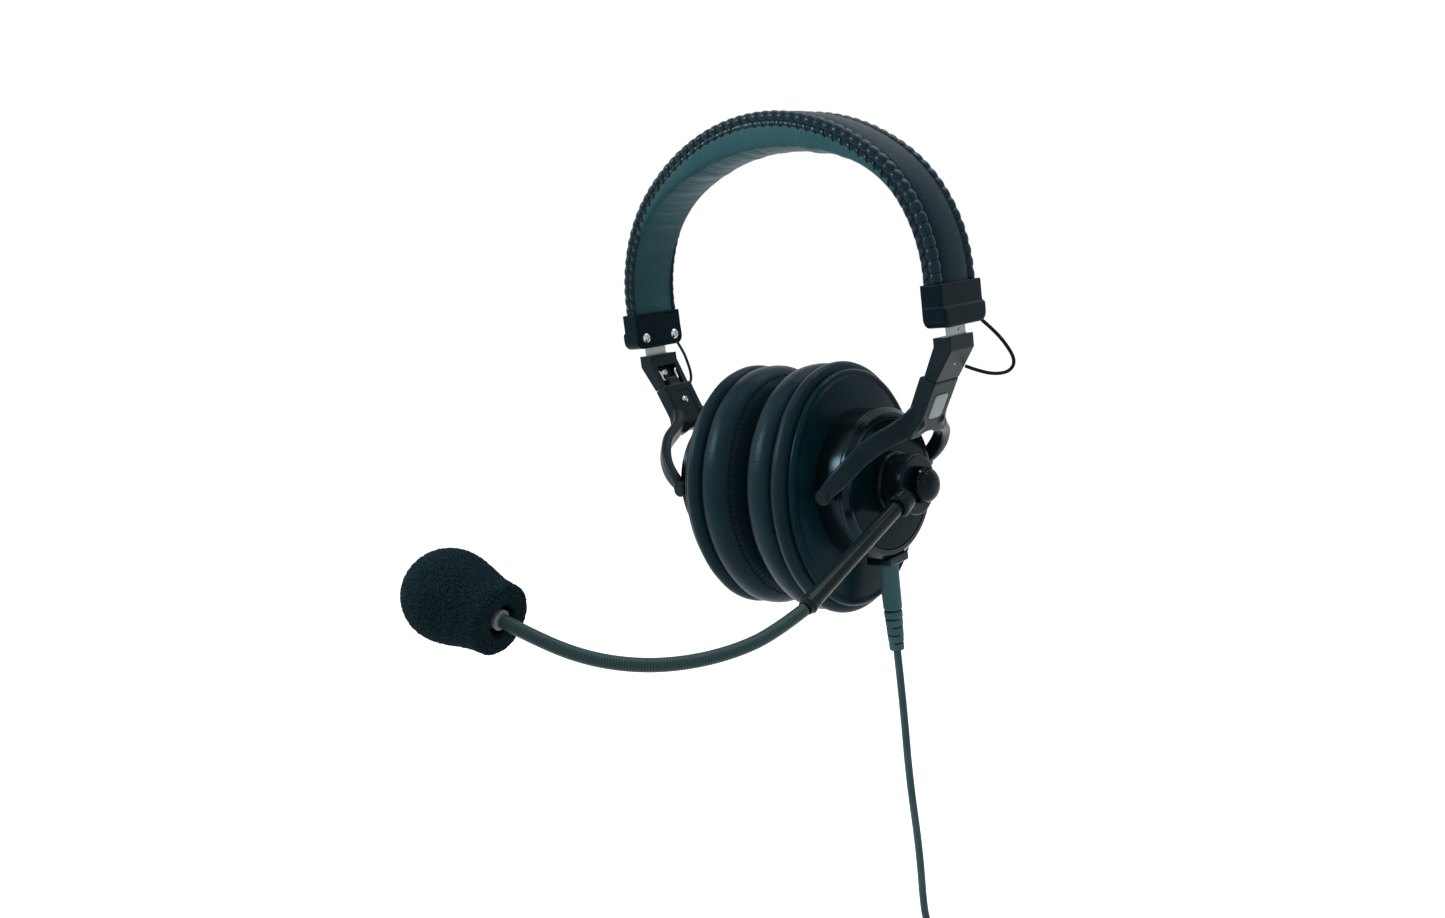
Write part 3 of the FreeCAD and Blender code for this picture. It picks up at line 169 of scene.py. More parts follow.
def grain_group():
    """Fine surface grain: a patchy colour, uneven roughness and a bumped normal."""
    tree = bpy.data.node_groups.new("surface_grain", "ShaderNodeTree")
    face = tree.interface
    for name, kind, start in (("Colour", "NodeSocketColor", (0.02, 0.02, 0.02, 1)),
                              ("Worn colour", "NodeSocketColor", (0.05, 0.05, 0.05, 1)),
                              ("Scale", "NodeSocketFloat", 1200.0), ("Roughness", "NodeSocketFloat", 0.5),
                              ("Depth", "NodeSocketFloat", 0.0001),
                              ("Patch scale", "NodeSocketFloat", 60.0)):
        socket = face.new_socket(name, in_out="INPUT", socket_type=kind)
        socket.default_value = start
    for name, kind in (("Colour", "NodeSocketColor"), ("Roughness", "NodeSocketFloat"),
                       ("Normal", "NodeSocketVector")):
        face.new_socket(name, in_out="OUTPUT", socket_type=kind)
    put, link = tree.nodes.new, tree.links.new
    given, result = put("NodeGroupInput"), put("NodeGroupOutput")
    spot = put("ShaderNodeTexCoord")
    fine, patch = put("ShaderNodeTexNoise"), put("ShaderNodeTexNoise")
    fine.inputs["Detail"].default_value = 3.0
    link(spot.outputs["Object"], fine.inputs["Vector"])
    link(given.outputs["Scale"], fine.inputs["Scale"])
    link(spot.outputs["Object"], patch.inputs["Vector"])
    link(given.outputs["Patch scale"], patch.inputs["Scale"])
    mix = put("ShaderNodeMix")
    mix.data_type = "RGBA"
    spread = put("ShaderNodeMapRange")
    spread.inputs["From Min"].default_value = 0.42
    spread.inputs["From Max"].default_value = 0.72
    link(patch.outputs["Fac"], spread.inputs["Value"])
    link(spread.outputs["Result"], mix.inputs["Factor"])
    link(given.outputs["Colour"], mix.inputs[6])
    link(given.outputs["Worn colour"], mix.inputs[7])
    link(mix.outputs[2], result.inputs["Colour"])
    rough = put("ShaderNodeMapRange")
    rough.inputs["To Min"].default_value = -0.07
    rough.inputs["To Max"].default_value = 0.07
    link(fine.outputs["Fac"], rough.inputs["Value"])
    total = put("ShaderNodeMath")
    link(rough.outputs["Result"], total.inputs[0])
    link(given.outputs["Roughness"], total.inputs[1])
    link(total.outputs["Value"], result.inputs["Roughness"])
    bump = put("ShaderNodeBump")
    bump.inputs["Strength"].default_value = 1.0
    link(given.outputs["Depth"], bump.inputs["Distance"])
    link(fine.outputs["Fac"], bump.inputs["Height"])
    link(bump.outputs["Normal"], result.inputs["Normal"])
    return tree


GRAIN = grain_group()


def grained(name, colour, worn, rough, scale, depth, patch=60.0, metal=0.0, coat=0.0, shine=0.07):
    """A finish whose colour, roughness and bump come from the shared grain group."""
    made, shader = plain_finish(name, colour, rough, metal, coat, shine)
    group = add_node(made, "ShaderNodeGroup", node_tree=GRAIN)
    for socket, value in (("Colour", (*colour, 1)), ("Worn colour", (*worn, 1)), ("Scale", scale),
                          ("Roughness", rough), ("Depth", depth), ("Patch scale", patch)):
        group.inputs[socket].default_value = value
    wire(made, group, "Colour", shader, "Base Color")
    wire(made, group, "Roughness", shader, "Roughness")
    wire(made, group, "Normal", shader, "Normal")
    return made


cord_rubber = grained("cord_rubber", (0.040, 0.078, 0.086), (0.055, 0.10, 0.11), 0.45, 2500, 0.00004)
line.materials.append(cord_rubber)
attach(cable, "cable")
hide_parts("cord", "cord_hank", "plug_cord")


# The head band's cover is a padded leatherette strip with one continuous curve over the head.  It is cut
# in two halves here, left and right of the crown, because each half bends with its own band end.
MM = 0.001
CROWN, SHOULDER = 97.168, 68.0          # radii of the band's outer face
CROWN_UP, CROWN_TURN = 15.0, math.radians(39.62)
SHOULDER_AT, SHOULDER_UP = 18.6, -59.7  # centre of the shoulder's arc


def arch_place(turn, leg=0.0):
    """Where the outer face is, by how far its normal leans from upright, as a frame of its own."""
    if turn <= CROWN_TURN:
        x, z = CROWN * math.sin(turn), CROWN_UP - CROWN + CROWN * math.cos(turn)
    else:
        x, z = SHOULDER_AT + SHOULDER * math.sin(turn), SHOULDER_UP + SHOULDER * math.cos(turn)
    return (Matrix.Translation((x * MM, 0, (z - leg) * MM)) @ Matrix.Rotation(turn, 4, "Y")
            @ Matrix.Diagonal((MM, MM, MM, 1)))


def arch_run(travel):
    """The frame at a distance in mm along the outer face from the crown."""
    first, second = CROWN * CROWN_TURN, SHOULDER * (math.pi / 2 - CROWN_TURN)
    if travel <= first:
        return arch_place(travel / CROWN)
    if travel <= first + second:
        return arch_place(CROWN_TURN + (travel - first) / SHOULDER)
    return arch_place(math.pi / 2, travel - first - second)


ARCH_LONG = CROWN * CROWN_TURN + SHOULDER * (math.pi / 2 - CROWN_TURN) + 2.8


def outline_of(bm, corners, place):
    """A closed loop of edges through corners (y, z), set at a place."""
    verts = [bm.verts.new(place @ Vector((0, y, z))) for y, z in corners]
    return [bm.edges.new((a, b)) for a, b in zip(verts, verts[1:] + verts[:1])]


def carry(bm, loop, places, caps=True, closed=False):
    """Extrude a loop through a row of places, the first of which is where it stands."""
    first = list(loop)
    layer = bm.verts.layers.float.get("along") or bm.verts.layers.float.new("along")
    travel = 0.0
    for before, after in zip(places, places[1:]):
        made = bmesh.ops.extrude_edge_only(bm, edges=loop)["geom"]
        verts = [v for v in made if isinstance(v, bmesh.types.BMVert)]
        loop = [e for e in made if isinstance(e, bmesh.types.BMEdge)
                and e.verts[0] in verts and e.verts[1] in verts]
        bmesh.ops.transform(bm, matrix=after @ before.inverted(), verts=verts)
        travel += (after.translation - before.translation).length
        for vert in verts:
            vert[layer] = travel
    if closed:
        bmesh.ops.remove_doubles(bm, verts=bm.verts, dist=1e-6)
    elif caps:
        for end in (first, loop):
            bmesh.ops.contextual_create(bm, geom=end)
    return loop


def finished(name, bm, finish, body, smooth=True):
    """Make an object of a mesh, with outward faces, riding on its body."""
    bmesh.ops.recalc_face_normals(bm, faces=bm.faces)
    mesh = bpy.data.meshes.new(name)
    bm.to_mesh(mesh)
    bm.free()
    if smooth:
        mesh.shade_smooth()
        mesh.set_sharp_from_angle(angle=math.radians(65))
    made = bpy.data.objects.new(name, mesh)
    bpy.context.scene.collection.objects.link(made)
    mesh.materials.append(finish)
    if body:
        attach(made, body)
    return made


def mirrored_copy(bm):
    """The same mesh on the wearer's other side."""
    other = bm.copy()
    bmesh.ops.scale(other, vec=(-1, 1, 1), verts=other.verts)
    return other


BEND_UP, BEND_LONG = 0.0109, 0.046      # height of the spread hinges, and the bend's length from the crown


def band_half(name, bm, finish, node_names=()):
    """Two halves of a band piece, each bending beside the crown and then turning with its own band end."""
    for side, sign, form in (("left", 1, bm), ("right", -1, mirrored_copy(bm))):
        piece = finished(f"{side}_{name}", form, finish, None)
        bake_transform(piece, "headband", f"{side}_band_end", start=(0.0, 0, BEND_UP),
                 end=(sign * BEND_LONG, 0, BEND_UP))
        if node_names:
            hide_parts(*node_names)


def leather_finish(name, colour, worn, rough, crease, grain, shine=0.07):
    """Leatherette: pebbled grain with soft creases that run across the piece's own length."""
    made, shader = plain_finish(name, colour, rough, shine=shine)
    spot = add_node(made, "ShaderNodeTexCoord")
    pebble = add_node(made, "ShaderNodeTexVoronoi", Scale=1400.0)
    wire(made, spot, "Object", pebble, "Vector")
    cloudy = add_node(made, "ShaderNodeTexNoise", Scale=45.0, Detail=3.0)
    wire(made, spot, "Object", cloudy, "Vector")
    tint = add_node(made, "ShaderNodeMix", data_type="RGBA")
    tint.inputs[6].default_value = (*colour, 1)
    tint.inputs[7].default_value = (*worn, 1)
    wire(made, cloudy, "Fac", tint, 0)
    made.node_tree.links.new(tint.outputs[2], shader.inputs["Base Color"])
    gloss = add_node(made, "ShaderNodeMapRange")
    gloss.inputs["To Min"].default_value = rough - 0.08
    gloss.inputs["To Max"].default_value = rough + 0.08
    wire(made, cloudy, "Fac", gloss, "Value")
    wire(made, gloss, "Result", shader, "Roughness")
    run_along = add_node(made, "ShaderNodeAttribute", attribute_name="along")
    bend = add_node(made, "ShaderNodeCombineXYZ")
    wire(made, run_along, "Fac", bend, "X")
    crease_noise = add_node(made, "ShaderNodeTexNoise", Scale=760.0, Detail=2.0)
    slow = add_node(made, "ShaderNodeVectorMath", operation="MULTIPLY_ADD")
    slow.inputs[1].default_value = (0.12, 0.12, 0.12)
    wire(made, spot, "Object", slow, 0)
    wire(made, bend, "Vector", slow, 2)
    wire(made, slow, "Vector", crease_noise, "Vector")
    fold = add_node(made, "ShaderNodeBump", Strength=1.0, Distance=crease)
    wire(made, crease_noise, "Fac", fold, "Height")
    skin = add_node(made, "ShaderNodeBump", Strength=1.0, Distance=grain)
    wire(made, pebble, "Distance", skin, "Height")
    wire(made, fold, "Normal", skin, "Normal")
    wire(made, skin, "Normal", shader, "Normal")
    return made


strip_leather = leather_finish("strip_leatherette", (0.005, 0.018, 0.027), (0.010, 0.027, 0.037), 0.4,
                               0.00008, 0.00007, shine=0.05)
cover = bmesh.new()
section = [(9.6, -3.3), (9.6, -1.4), (9.0, -0.5), (7.4, 0.0), (4.5, 0.3), (0.0, 0.45), (-4.5, 0.3),
           (-7.4, 0.0), (-9.0, -0.5), (-9.6, -1.4), (-9.6, -3.3), (0.0, -3.5)]
COVER_CROWNED = 0.45                    # how far the middle of the section stands above its edges
lowered = Matrix.Translation((0, 0, -COVER_CROWNED))
stops = [arch_run(ARCH_LONG * i / 64) @ lowered for i in range(65)]
carry(cover, outline_of(cover, section, stops[0]), stops)
band_half("cover_strip", cover, strip_leather, ["band_cover"])


# The sprung steel strip lies between the cover and the pad and bends with them.  It is hidden: its sides are
# under the rolls and its two ends are inside the caps.
SPRING_DEEP, SPRING_HALF, SPRING_THICK = 3.7, 8.4, 0.8
spring_steel = grained("spring_steel", (0.30, 0.32, 0.33), (0.42, 0.44, 0.45), 0.36, 3000, 0.00001,
                       metal=1.0)
spring = bmesh.new()
lowered = Matrix.Translation((0, 0, -SPRING_DEEP))
stops = [arch_run((ARCH_LONG - 0.6) * i / 48) @ lowered for i in range(49)]
section = [(SPRING_HALF, 0.0), (SPRING_HALF, -SPRING_THICK), (-SPRING_HALF, -SPRING_THICK),
           (-SPRING_HALF, 0.0)]
carry(spring, outline_of(spring, section, stops[0]), stops)
band_half("spring_strip", spring, spring_steel, ["band_spring"])


# The cover's two edges are rolled over a cord and whip-stitched with thick thread, which pinches the roll
# into a row of small pillows.  Below each roll a narrow flap is caught by the same thread.
STITCHES = 27
PITCH = ARCH_LONG / STITCHES
PINCH = {0.0: 0.78, 0.12: 0.91, 0.3: 1.0, 0.5: 1.03, 0.7: 1.0, 0.88: 0.91}     # by the share of one pitch


def ellipse(half_wide, half_tall, count):
    """Corners of a rounded section."""
    return [(half_wide * math.cos(a), half_tall * math.sin(a))
            for a in (math.tau * k / count for k in range(count))]


def pinched(bm, across, down, ring, wide_power, tall_power, end):
    """Carry a section along the edge, drawn in at each stitch by powers of the pinch."""
    at = Matrix.Translation((0, across, down))
    stops = [arch_run(PITCH * (i + share)) @ at
             @ Matrix.Diagonal((1, draw ** wide_power, draw ** tall_power, 1))
             for i in range(STITCHES) for share, draw in PINCH.items()]
    stops.append(arch_run(ARCH_LONG) @ at @ Matrix.Diagonal((1, *end, 1)))
    carry(bm, outline_of(bm, ring, stops[0]), stops)


def rolled_edge(side):
    """The roll and the flap that hangs below it."""
    roll = bmesh.new()
    pinched(roll, side * 11.6, -2.4, ellipse(2.45, 2.4, 14), 1.0, 1.0, (0.78, 0.78))
    pinched(roll, side * 12.6, -5.2, ellipse(1.15, 1.9, 10), 0.7, 0.35, (0.8, 0.9))
    return roll


def stitch_thread(side):
    """One loop of thread over the roll and slanting down the flap, repeated along the edge."""
    threads = bmesh.new()
    path = [(0.0, 9.6, -1.7), (0.0, 10.2, -1.05), (0.0, 11.6, -0.55), (0.1, 12.9, -1.05), (0.4, 13.5, -2.3),
            (1.0, 13.45, -3.7), (1.8, 13.7, -5.0), (2.6, 13.6, -6.2), (3.2, 12.9, -7.1)]
    six = ellipse(0.32, 0.32, 6)
    for i in range(1, STITCHES + 1):
        base = arch_run(PITCH * i if i < STITCHES else ARCH_LONG - 0.8)
        spots = [Vector((x, side * y, z)) for x, y, z in path]
        stops = []
        for k, spot in enumerate(spots):
            ahead = spots[min(k + 1, len(spots) - 1)] - spots[max(k - 1, 0)]
            thin = 0.35 if k == len(spots) - 1 else 1.0
            stops.append(base @ Matrix.Translation(spot)
                         @ ahead.to_track_quat("X", "Z").to_matrix().to_4x4() @ Matrix.Scale(thin, 4))
        carry(threads, outline_of(threads, six, stops[0]), stops)
    return threads


roll_leather = leather_finish("rolled_leatherette", (0.008, 0.020, 0.027), (0.013, 0.028, 0.036), 0.25,
                              0.00003, 0.00004, shine=0.13)
thread = grained("waxed_thread", (0.004, 0.007, 0.009), (0.009, 0.013, 0.016), 0.5, 3000, 0.00006)
for edge, side in (("front", -1), ("rear", 1)):
    band_half(f"{edge}_roll", rolled_edge(side), roll_leather, [f"{edge}_edge_roll"])
    band_half(f"{edge}_stitches", stitch_thread(side), thread)


# The head pad is foam in a softer, lighter leatherette.  Its smooth sides stand under the stitched edges,
# and its underside has soft folds across it where the band bends.
pad_leather = leather_finish("pad_leatherette", (0.024, 0.080, 0.094), (0.041, 0.118, 0.132), 0.4,
                             0.00028, 0.00005, shine=0.05)


def pad_thickness(turn):
    """Distance from the outer face down to the pad's underside, on the normal that leans by turn."""
    start = arch_place(turn).translation * 1000
    way = Vector((math.sin(turn), 0, math.cos(turn)))
    for centre, radius, high in (((0.0, -118.92), 118.92, 24.19), ((26.6, -59.7), 54.0, 90.0)):
        to = Vector((start.x - centre[0], 0, start.z - centre[1]))
        along = to.dot(way)
        gap = along - math.sqrt(max(along * along - to.length_squared + radius * radius, 0))
        hit = to - way * gap
        lean = math.degrees(math.atan2(hit.x, hit.z))
        if lean <= high + 0.01:
            return gap
    return 6.0


PAD_DEEP = 4.6                          # from the outer face down to the pad
DRAWN_THICK = 10.0                      # the section below is drawn for a pad of this thickness
pad = bmesh.new()
stops = []
count = 150
for i in range(count + 1):
    place = arch_run(ARCH_LONG * i / count)
    turn = min(math.atan2(place[0][2], place[2][2]), math.pi / 2)
    deep = pad_thickness(turn) - PAD_DEEP
    stops.append(place @ Matrix.Translation((0, 0, -PAD_DEEP))
                 @ Matrix.Diagonal((1, 1, deep / DRAWN_THICK, 1)))
half = [(12.9, 0.9), (13.4, -0.4), (13.6, -2.0), (13.65, -3.6), (13.55, -5.0), (13.4, -6.4), (13.1, -7.6),
        (12.6, -8.6), (11.9, -9.3), (10.9, -9.8), (9.6, -10.1), (7.8, -10.6), (6.0, -11.0), (4.0, -11.3),
        (2.0, -11.45)]
section = half + [(0.0, -11.5)] + [(-y, z) for y, z in half[::-1]]
carry(pad, outline_of(pad, section, stops[0]), stops)
layer = pad.verts.layers.float["along"]
for vert in pad.verts:
    travel = vert[layer] * 1000
    under = min(1.0, max(0.0, (13.2 - abs(vert.co.y) * 1000) / 4.0))
    folds = noise.noise(Vector((travel / 7.5, vert.co.y * 25, 3.1))) + 0.5 * noise.noise(
        Vector((travel / 3.4, vert.co.y * 40, 8.7)))
    place = arch_run(min(travel, ARCH_LONG))
    out = Vector((place[0][2], 0, place[2][2])).normalized()
    depth = (place.translation - vert.co).dot(out) * 1000
    if depth > 6.5:
        vert.co += out * (folds * 0.55 - 0.15) * under * 0.001
band_half("head_pad", pad, pad_leather, ["band_pad"])


# The end caps close the band's two feet.  Each is a black moulded shell, screwed shut from inside by a flat
# lid with two cross-head screws, and its thicker lower half stands a little proud.
def in_finish(finish, *nodes):
    """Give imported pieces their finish."""
    for node in nodes:
        for slot in frame["nodes"][node].material_slots:
            slot.material = finish


def eased(name, finish, edge, sharp=35):
    """A moulded piece with its sharp edges eased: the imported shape, merged, made flat and bevelled."""
    bm = bmesh.new()
    bm.from_mesh(frame["nodes"][name].data)
    bmesh.ops.remove_doubles(bm, verts=bm.verts, dist=2e-6)
    bmesh.ops.dissolve_limit(bm, angle_limit=math.radians(1.5), verts=bm.verts, edges=bm.edges)
    corners = [e for e in bm.edges if len(e.link_faces) == 2 and e.calc_face_angle() > math.radians(sharp)]
    bmesh.ops.bevel(bm, geom=corners, offset=edge * MM, offset_type="OFFSET", affect="EDGES", segments=2,
                    profile=0.5, material=-1, clamp_overlap=True)
    piece = finished(name + "_shell", bm, finish, frame["nodes"][name]["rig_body"])
    piece.data.set_sharp_from_angle(angle=math.radians(50))
    even = piece.modifiers.new("even", "WEIGHTED_NORMAL")
    even.keep_sharp = True
    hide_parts(name)
    return piece


def cast(name, finish, voxel, passes, bm=None):
    """A cast piece with soft edges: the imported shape, or the mesh given, remeshed finely and smoothed."""
    if bm is None:
        bm = bmesh.new()
        bm.from_mesh(frame["nodes"][name].data)
        bmesh.ops.remove_doubles(bm, verts=bm.verts, dist=2e-6)
    piece = finished(name + "_casting", bm, finish, frame["nodes"][name]["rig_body"])
    fine = piece.modifiers.new("fine", "REMESH")
    fine.mode = "VOXEL"
    fine.voxel_size = voxel * MM
    fine.use_smooth_shade = True
    soft = piece.modifiers.new("soft", "SMOOTH")
    soft.factor = 0.5
    soft.iterations = passes
    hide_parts(name)
    return piece


cap_plastic = grained("cap_plastic", (0.004, 0.011, 0.016), (0.006, 0.015, 0.021), 0.26, 2600, 0.000008,
                      shine=0.04)
screw_steel = grained("screw_steel", (0.42, 0.44, 0.44), (0.55, 0.56, 0.55), 0.3, 4000, 0.00001, metal=1.0)
for side in ("left", "right"):
    cast(f"{side}_end_cap", cap_plastic, 0.4, 8)
    in_finish(cap_plastic, f"{side}_end_cover")
    in_finish(screw_steel, f"{side}_end_screws", f"{side}_block_screw")


# The size strips are bright spring steel, stamped and brushed along their length.  They slide out of the
# caps with light friction.
strip_steel = grained("strip_steel", (0.23, 0.26, 0.27), (0.33, 0.37, 0.38), 0.34, 3000, 0.00001, metal=1.0)
for side in ("left", "right"):
    in_finish(strip_steel, f"{side}_size_strip")


# A thin black lead loops from each cap's rear corner to the hinge block.  The loop is the slack that it
# needs when the strip slides out.
LEAD_RADIUS = 0.72
LEAD = [(84.4, 14.9, -76.4), (87.0, 21.5, -82.5), (89.6, 26.6, -89.5), (91.2, 29.6, -96.3),
        (90.0, 27.0, -100.2), (87.0, 20.2, -100.3), (83.0, 13.5, -97.6), (80.5, 9.8, -95.3)]


def smooth_line(spots, resolution=12):
    """Points along the NURBS line of a route in mm, in metres."""
    flow = bpy.data.curves.new("guide", "CURVE")
    flow.dimensions = "3D"
    flow.resolution_u = resolution
    spline = flow.splines.new("NURBS")
    spline.points.add(len(spots) - 1)
    for point, at in zip(spline.points, spots):
        point.co = (at[0] * MM, at[1] * MM, at[2] * MM, 1.0)
    spline.order_u = 3
    spline.use_endpoint_u = True
    guide = bpy.data.objects.new("guide", flow)
    bpy.context.scene.collection.objects.link(guide)
    bpy.context.view_layer.update()
    drawn = bpy.data.meshes.new_from_object(guide)
    points = [vert.co.copy() for vert in drawn.vertices]
    bpy.data.objects.remove(guide)
    bpy.data.curves.remove(flow)
    bpy.data.meshes.remove(drawn)
    return points


def even_line(points, gap):
    """The same line at even steps of gap metres."""
    spots, left = [points[0]], gap
    for a, b in zip(points, points[1:]):
        long = (b - a).length
        while left <= long:
            spots.append(a.lerp(b, left / long))
            left += gap
        left -= long
    spots.append(points[-1])
    return spots


def line_places(points):
    """A frame at each point, its X along the line, turned as little as can be."""
    up = Vector((0, 0, 1))
    places = []
    for i, point in enumerate(points):
        along = (points[min(i + 1, len(points) - 1)] - points[max(i - 1, 0)]).normalized()
        across = up.cross(along).normalized()
        up = along.cross(across).normalized()
        turn = Matrix((along, across, up)).transposed().to_4x4()
        places.append(Matrix.Translation(point) @ turn @ Matrix.Diagonal((MM, MM, MM, 1)))
    return places


def hose(points, radii, sides):
    """A closed tube along the points, with its own radius at each."""
    bm = bmesh.new()
    places = [place @ Matrix.Diagonal((1, r, r, 1)) for place, r in zip(line_places(points), radii)]
    circle = [(math.cos(a), math.sin(a)) for a in (math.tau * k / sides for k in range(sides))]
    carry(bm, outline_of(bm, circle, places[0]), places)
    return bm


lead_rubber = grained("lead_rubber", (0.003, 0.008, 0.012), (0.006, 0.012, 0.016), 0.38, 3000, 0.00002)
lead_points = smooth_line(LEAD)
lead = hose(lead_points, [LEAD_RADIUS] * len(lead_points), 16)
for side, sign, form in (("left", 1, lead), ("right", -1, mirrored_copy(lead))):
    piece = finished(f"{side}_lead", form, lead_rubber, None)
    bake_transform(piece, f"{side}_band_end", f"{side}_slider", start=(sign * 0.0866, 0.0149, -0.0775),
             end=(sign * 0.0866, 0.0149, -0.0955))
    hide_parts(f"{side}_strip_lead")


# The hinge is a cast block on the strip and a bent steel wire that the yoke hangs from.  The yoke is a
# die-cast Y with a bare plate on its outer face, painted satin black.
yoke_paint = grained("yoke_paint", (0.008, 0.015, 0.019), (0.014, 0.020, 0.024), 0.34, 2600, 0.00001,
                     shine=0.10)
badge_paint = grained("badge_paint", (0.30, 0.40, 0.39), (0.42, 0.46, 0.44), 0.32, 2200, 0.00001)
for side in ("left", "right"):
    cast(f"{side}_yoke", yoke_paint, 0.35, 26)
    eased(f"{side}_hinge_block", yoke_paint, 0.35, sharp=30)
    eased(f"{side}_badge_plate", badge_paint, 0.2, sharp=40)
    in_finish(yoke_paint, f"{side}_yoke_insert")
    in_finish(screw_steel, f"{side}_bail", f"{side}_yoke_screw")
    in_finish(yoke_paint, f"{side}_pivot_pins")


# The ear cup is a turned can on a wide oval plate.  The plate's rim is rolled, and its face rises to the
# foot of the can like a shallow dish turned over.
CUP_UP, PLATE_UP = -141.4, -143.9       # heights of the cup's axis and of the oval's middle
PLATE_BACK, CAN_BACK = 27.1, 30.6
CAN_RADIUS, CAN_FOOT = 31.4, 30.9
PLATE_WIDE, PLATE_TALL = 44.2, 50.4
END_LESS = 4.0                          # the end arcs' radius is this much less than the half width


def oval_way(half_wide, half_tall):
    """Radii of an oval of four arcs and the lean at which the side arc meets the end arc."""
    end = half_wide - END_LESS
    rise = half_tall - end
    side = (half_wide ** 2 + rise ** 2 - end ** 2) / (2 * END_LESS)
    return side, end, rise, math.atan2(rise, side - half_wide)


def oval_place(half_wide, half_tall, turn, out=0.0):
    """A frame on the oval where its normal leans by turn: Y outward from the head, Z away from the oval."""
    side, end, rise, meet = oval_way(half_wide, half_tall)
    bend = abs((turn + math.pi) % math.tau - math.pi)
    lean = min(bend, math.pi - bend)
    if lean <= meet:
        y, z = half_wide - side + side * math.cos(lean), side * math.sin(lean)
    else:
        y, z = end * math.cos(lean), rise + end * math.sin(lean)
    y = y if bend <= math.pi / 2 else -y
    z = z if math.sin(turn) >= 0 else -z
    c, s = math.cos(turn), math.sin(turn)
    return Matrix(((0, MM, 0, out * MM), (-s * MM, 0, c * MM, y * MM),
                   (c * MM, 0, s * MM, (z + PLATE_UP) * MM), (0, 0, 0, 1)))


def oval_turns(half_wide, half_tall, count):
    """Normal directions at even steps round the oval, starting at its side."""
    side, end, _, meet = oval_way(half_wide, half_tall)
    arcs = [(side, meet), (end, math.pi - 2 * meet), (side, 2 * meet), (end, math.pi - 2 * meet),
            (side, meet)]
    total = sum(r * a for r, a in arcs)
    turns = []
    for i in range(count):
        travel, turn = total * i / count, 0.0
        for radius, angle in arcs:
            if travel <= radius * angle:
                turn += travel / radius
                break
            travel -= radius * angle
            turn += angle
        turns.append(turn)
    return turns


def both_cups(name, bm, finish, slot, *nodes):
    """A piece of the left cup and its mirror image on the right one."""
    made = []
    for side, form in (("left", bm), ("right", mirrored_copy(bm))):
        piece = finished(f"{side}_{name}", form, finish, f"{side}_cup")
        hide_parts(*[f"{side}_{node}" for node in nodes])
        made.append(piece)
    return made


def ring_between(bm, turns, out, level, share):
    """One ring of the plate, from the oval (share 0) to the can's foot (share 1)."""
    corners = []
    for turn in turns:
        oval = oval_place(PLATE_WIDE, PLATE_TALL, turn, out) @ Vector((0, 0, level))
        foot = Vector((out, CAN_FOOT * math.cos(turn), CUP_UP + CAN_FOOT * math.sin(turn))) * MM
        corners.append(oval.lerp(foot, share))
    verts = [bm.verts.new(at) for at in corners]
    return [bm.edges.new((a, b)) for a, b in zip(verts, verts[1:] + verts[:1])]


plate = bmesh.new()
turns = oval_turns(PLATE_WIDE, PLATE_TALL, 144)
# Distance out from the head, distance beyond the oval, and share of the way to the can's foot.
ROLL = [(27.15, -3.2, 0), (27.1, -1.6, 0), (27.5, -0.45, 0), (28.3, 0.0, 0), (29.3, -0.05, 0),
        (30.1, -0.5, 0), (30.55, -1.3, 0), (30.6, -2.1, 0), (30.3, -2.9, 0), (30.15, -3.4, 0),
        (30.3, -3.8, 0.02), (30.9, -4.0, 0.3), (31.4, -4.0, 0.65), (31.75, -3.0, 0.92), (31.9, 0.0, 1.0),
        (31.9, 0.0, 1.06)]
rings = [ring_between(plate, turns, out, level, share) for out, level, share in ROLL]
rings.insert(0, ring_between(plate, turns, 27.2, -12.0, 0.6))
for near, far in zip(rings, rings[1:]):
    bmesh.ops.bridge_loops(plate, edges=near + far)
plate_plastic = grained("plate_plastic", (0.002, 0.015, 0.022), (0.004, 0.021, 0.028), 0.3, 2600, 0.000004,
                        shine=0.07)
both_cups("plate", plate, plate_plastic, "black_plastic", "rim_plate")


def turned(profile, place, soft=0.25, steps=112):
    """A turned piece: a profile of (radius, height) spun round the place's own Z, its corners rounded."""
    bm = bmesh.new()
    verts = [bm.verts.new((r, 0, h)) for r, h in profile]
    for a, b in zip(verts, verts[1:]):
        bm.edges.new((a, b))
    corners = [v for v, (r, h) in zip(verts, profile) if r > 0.01 and len(v.link_edges) == 2]
    if soft:
        bmesh.ops.bevel(bm, geom=corners, offset=soft, offset_type="OFFSET", affect="VERTICES", segments=3,
                        profile=0.5, material=-1, clamp_overlap=True)
    bmesh.ops.spin(bm, geom=bm.verts[:] + bm.edges[:], cent=(0, 0, 0), axis=(0, 0, 1), dvec=(0, 0, 0),
                   angle=math.tau, steps=steps, use_merge=True)
    bmesh.ops.remove_doubles(bm, verts=bm.verts, dist=1e-4)
    bmesh.ops.transform(bm, matrix=place @ Matrix.Diagonal((MM, MM, MM, 1)), verts=bm.verts)
    return bm


def even_shading(piece, angle=40):
    piece.data.set_sharp_from_angle(angle=math.radians(angle))
    even = piece.modifiers.new("even", "WEIGHTED_NORMAL")
    even.keep_sharp = True


def on_cup(out):
    """A place on the left cup's axis, its Z pointing out from the head."""
    return Matrix.Translation((out * MM, 0, CUP_UP * MM)) @ Matrix.Rotation(math.pi / 2, 4, "Y")


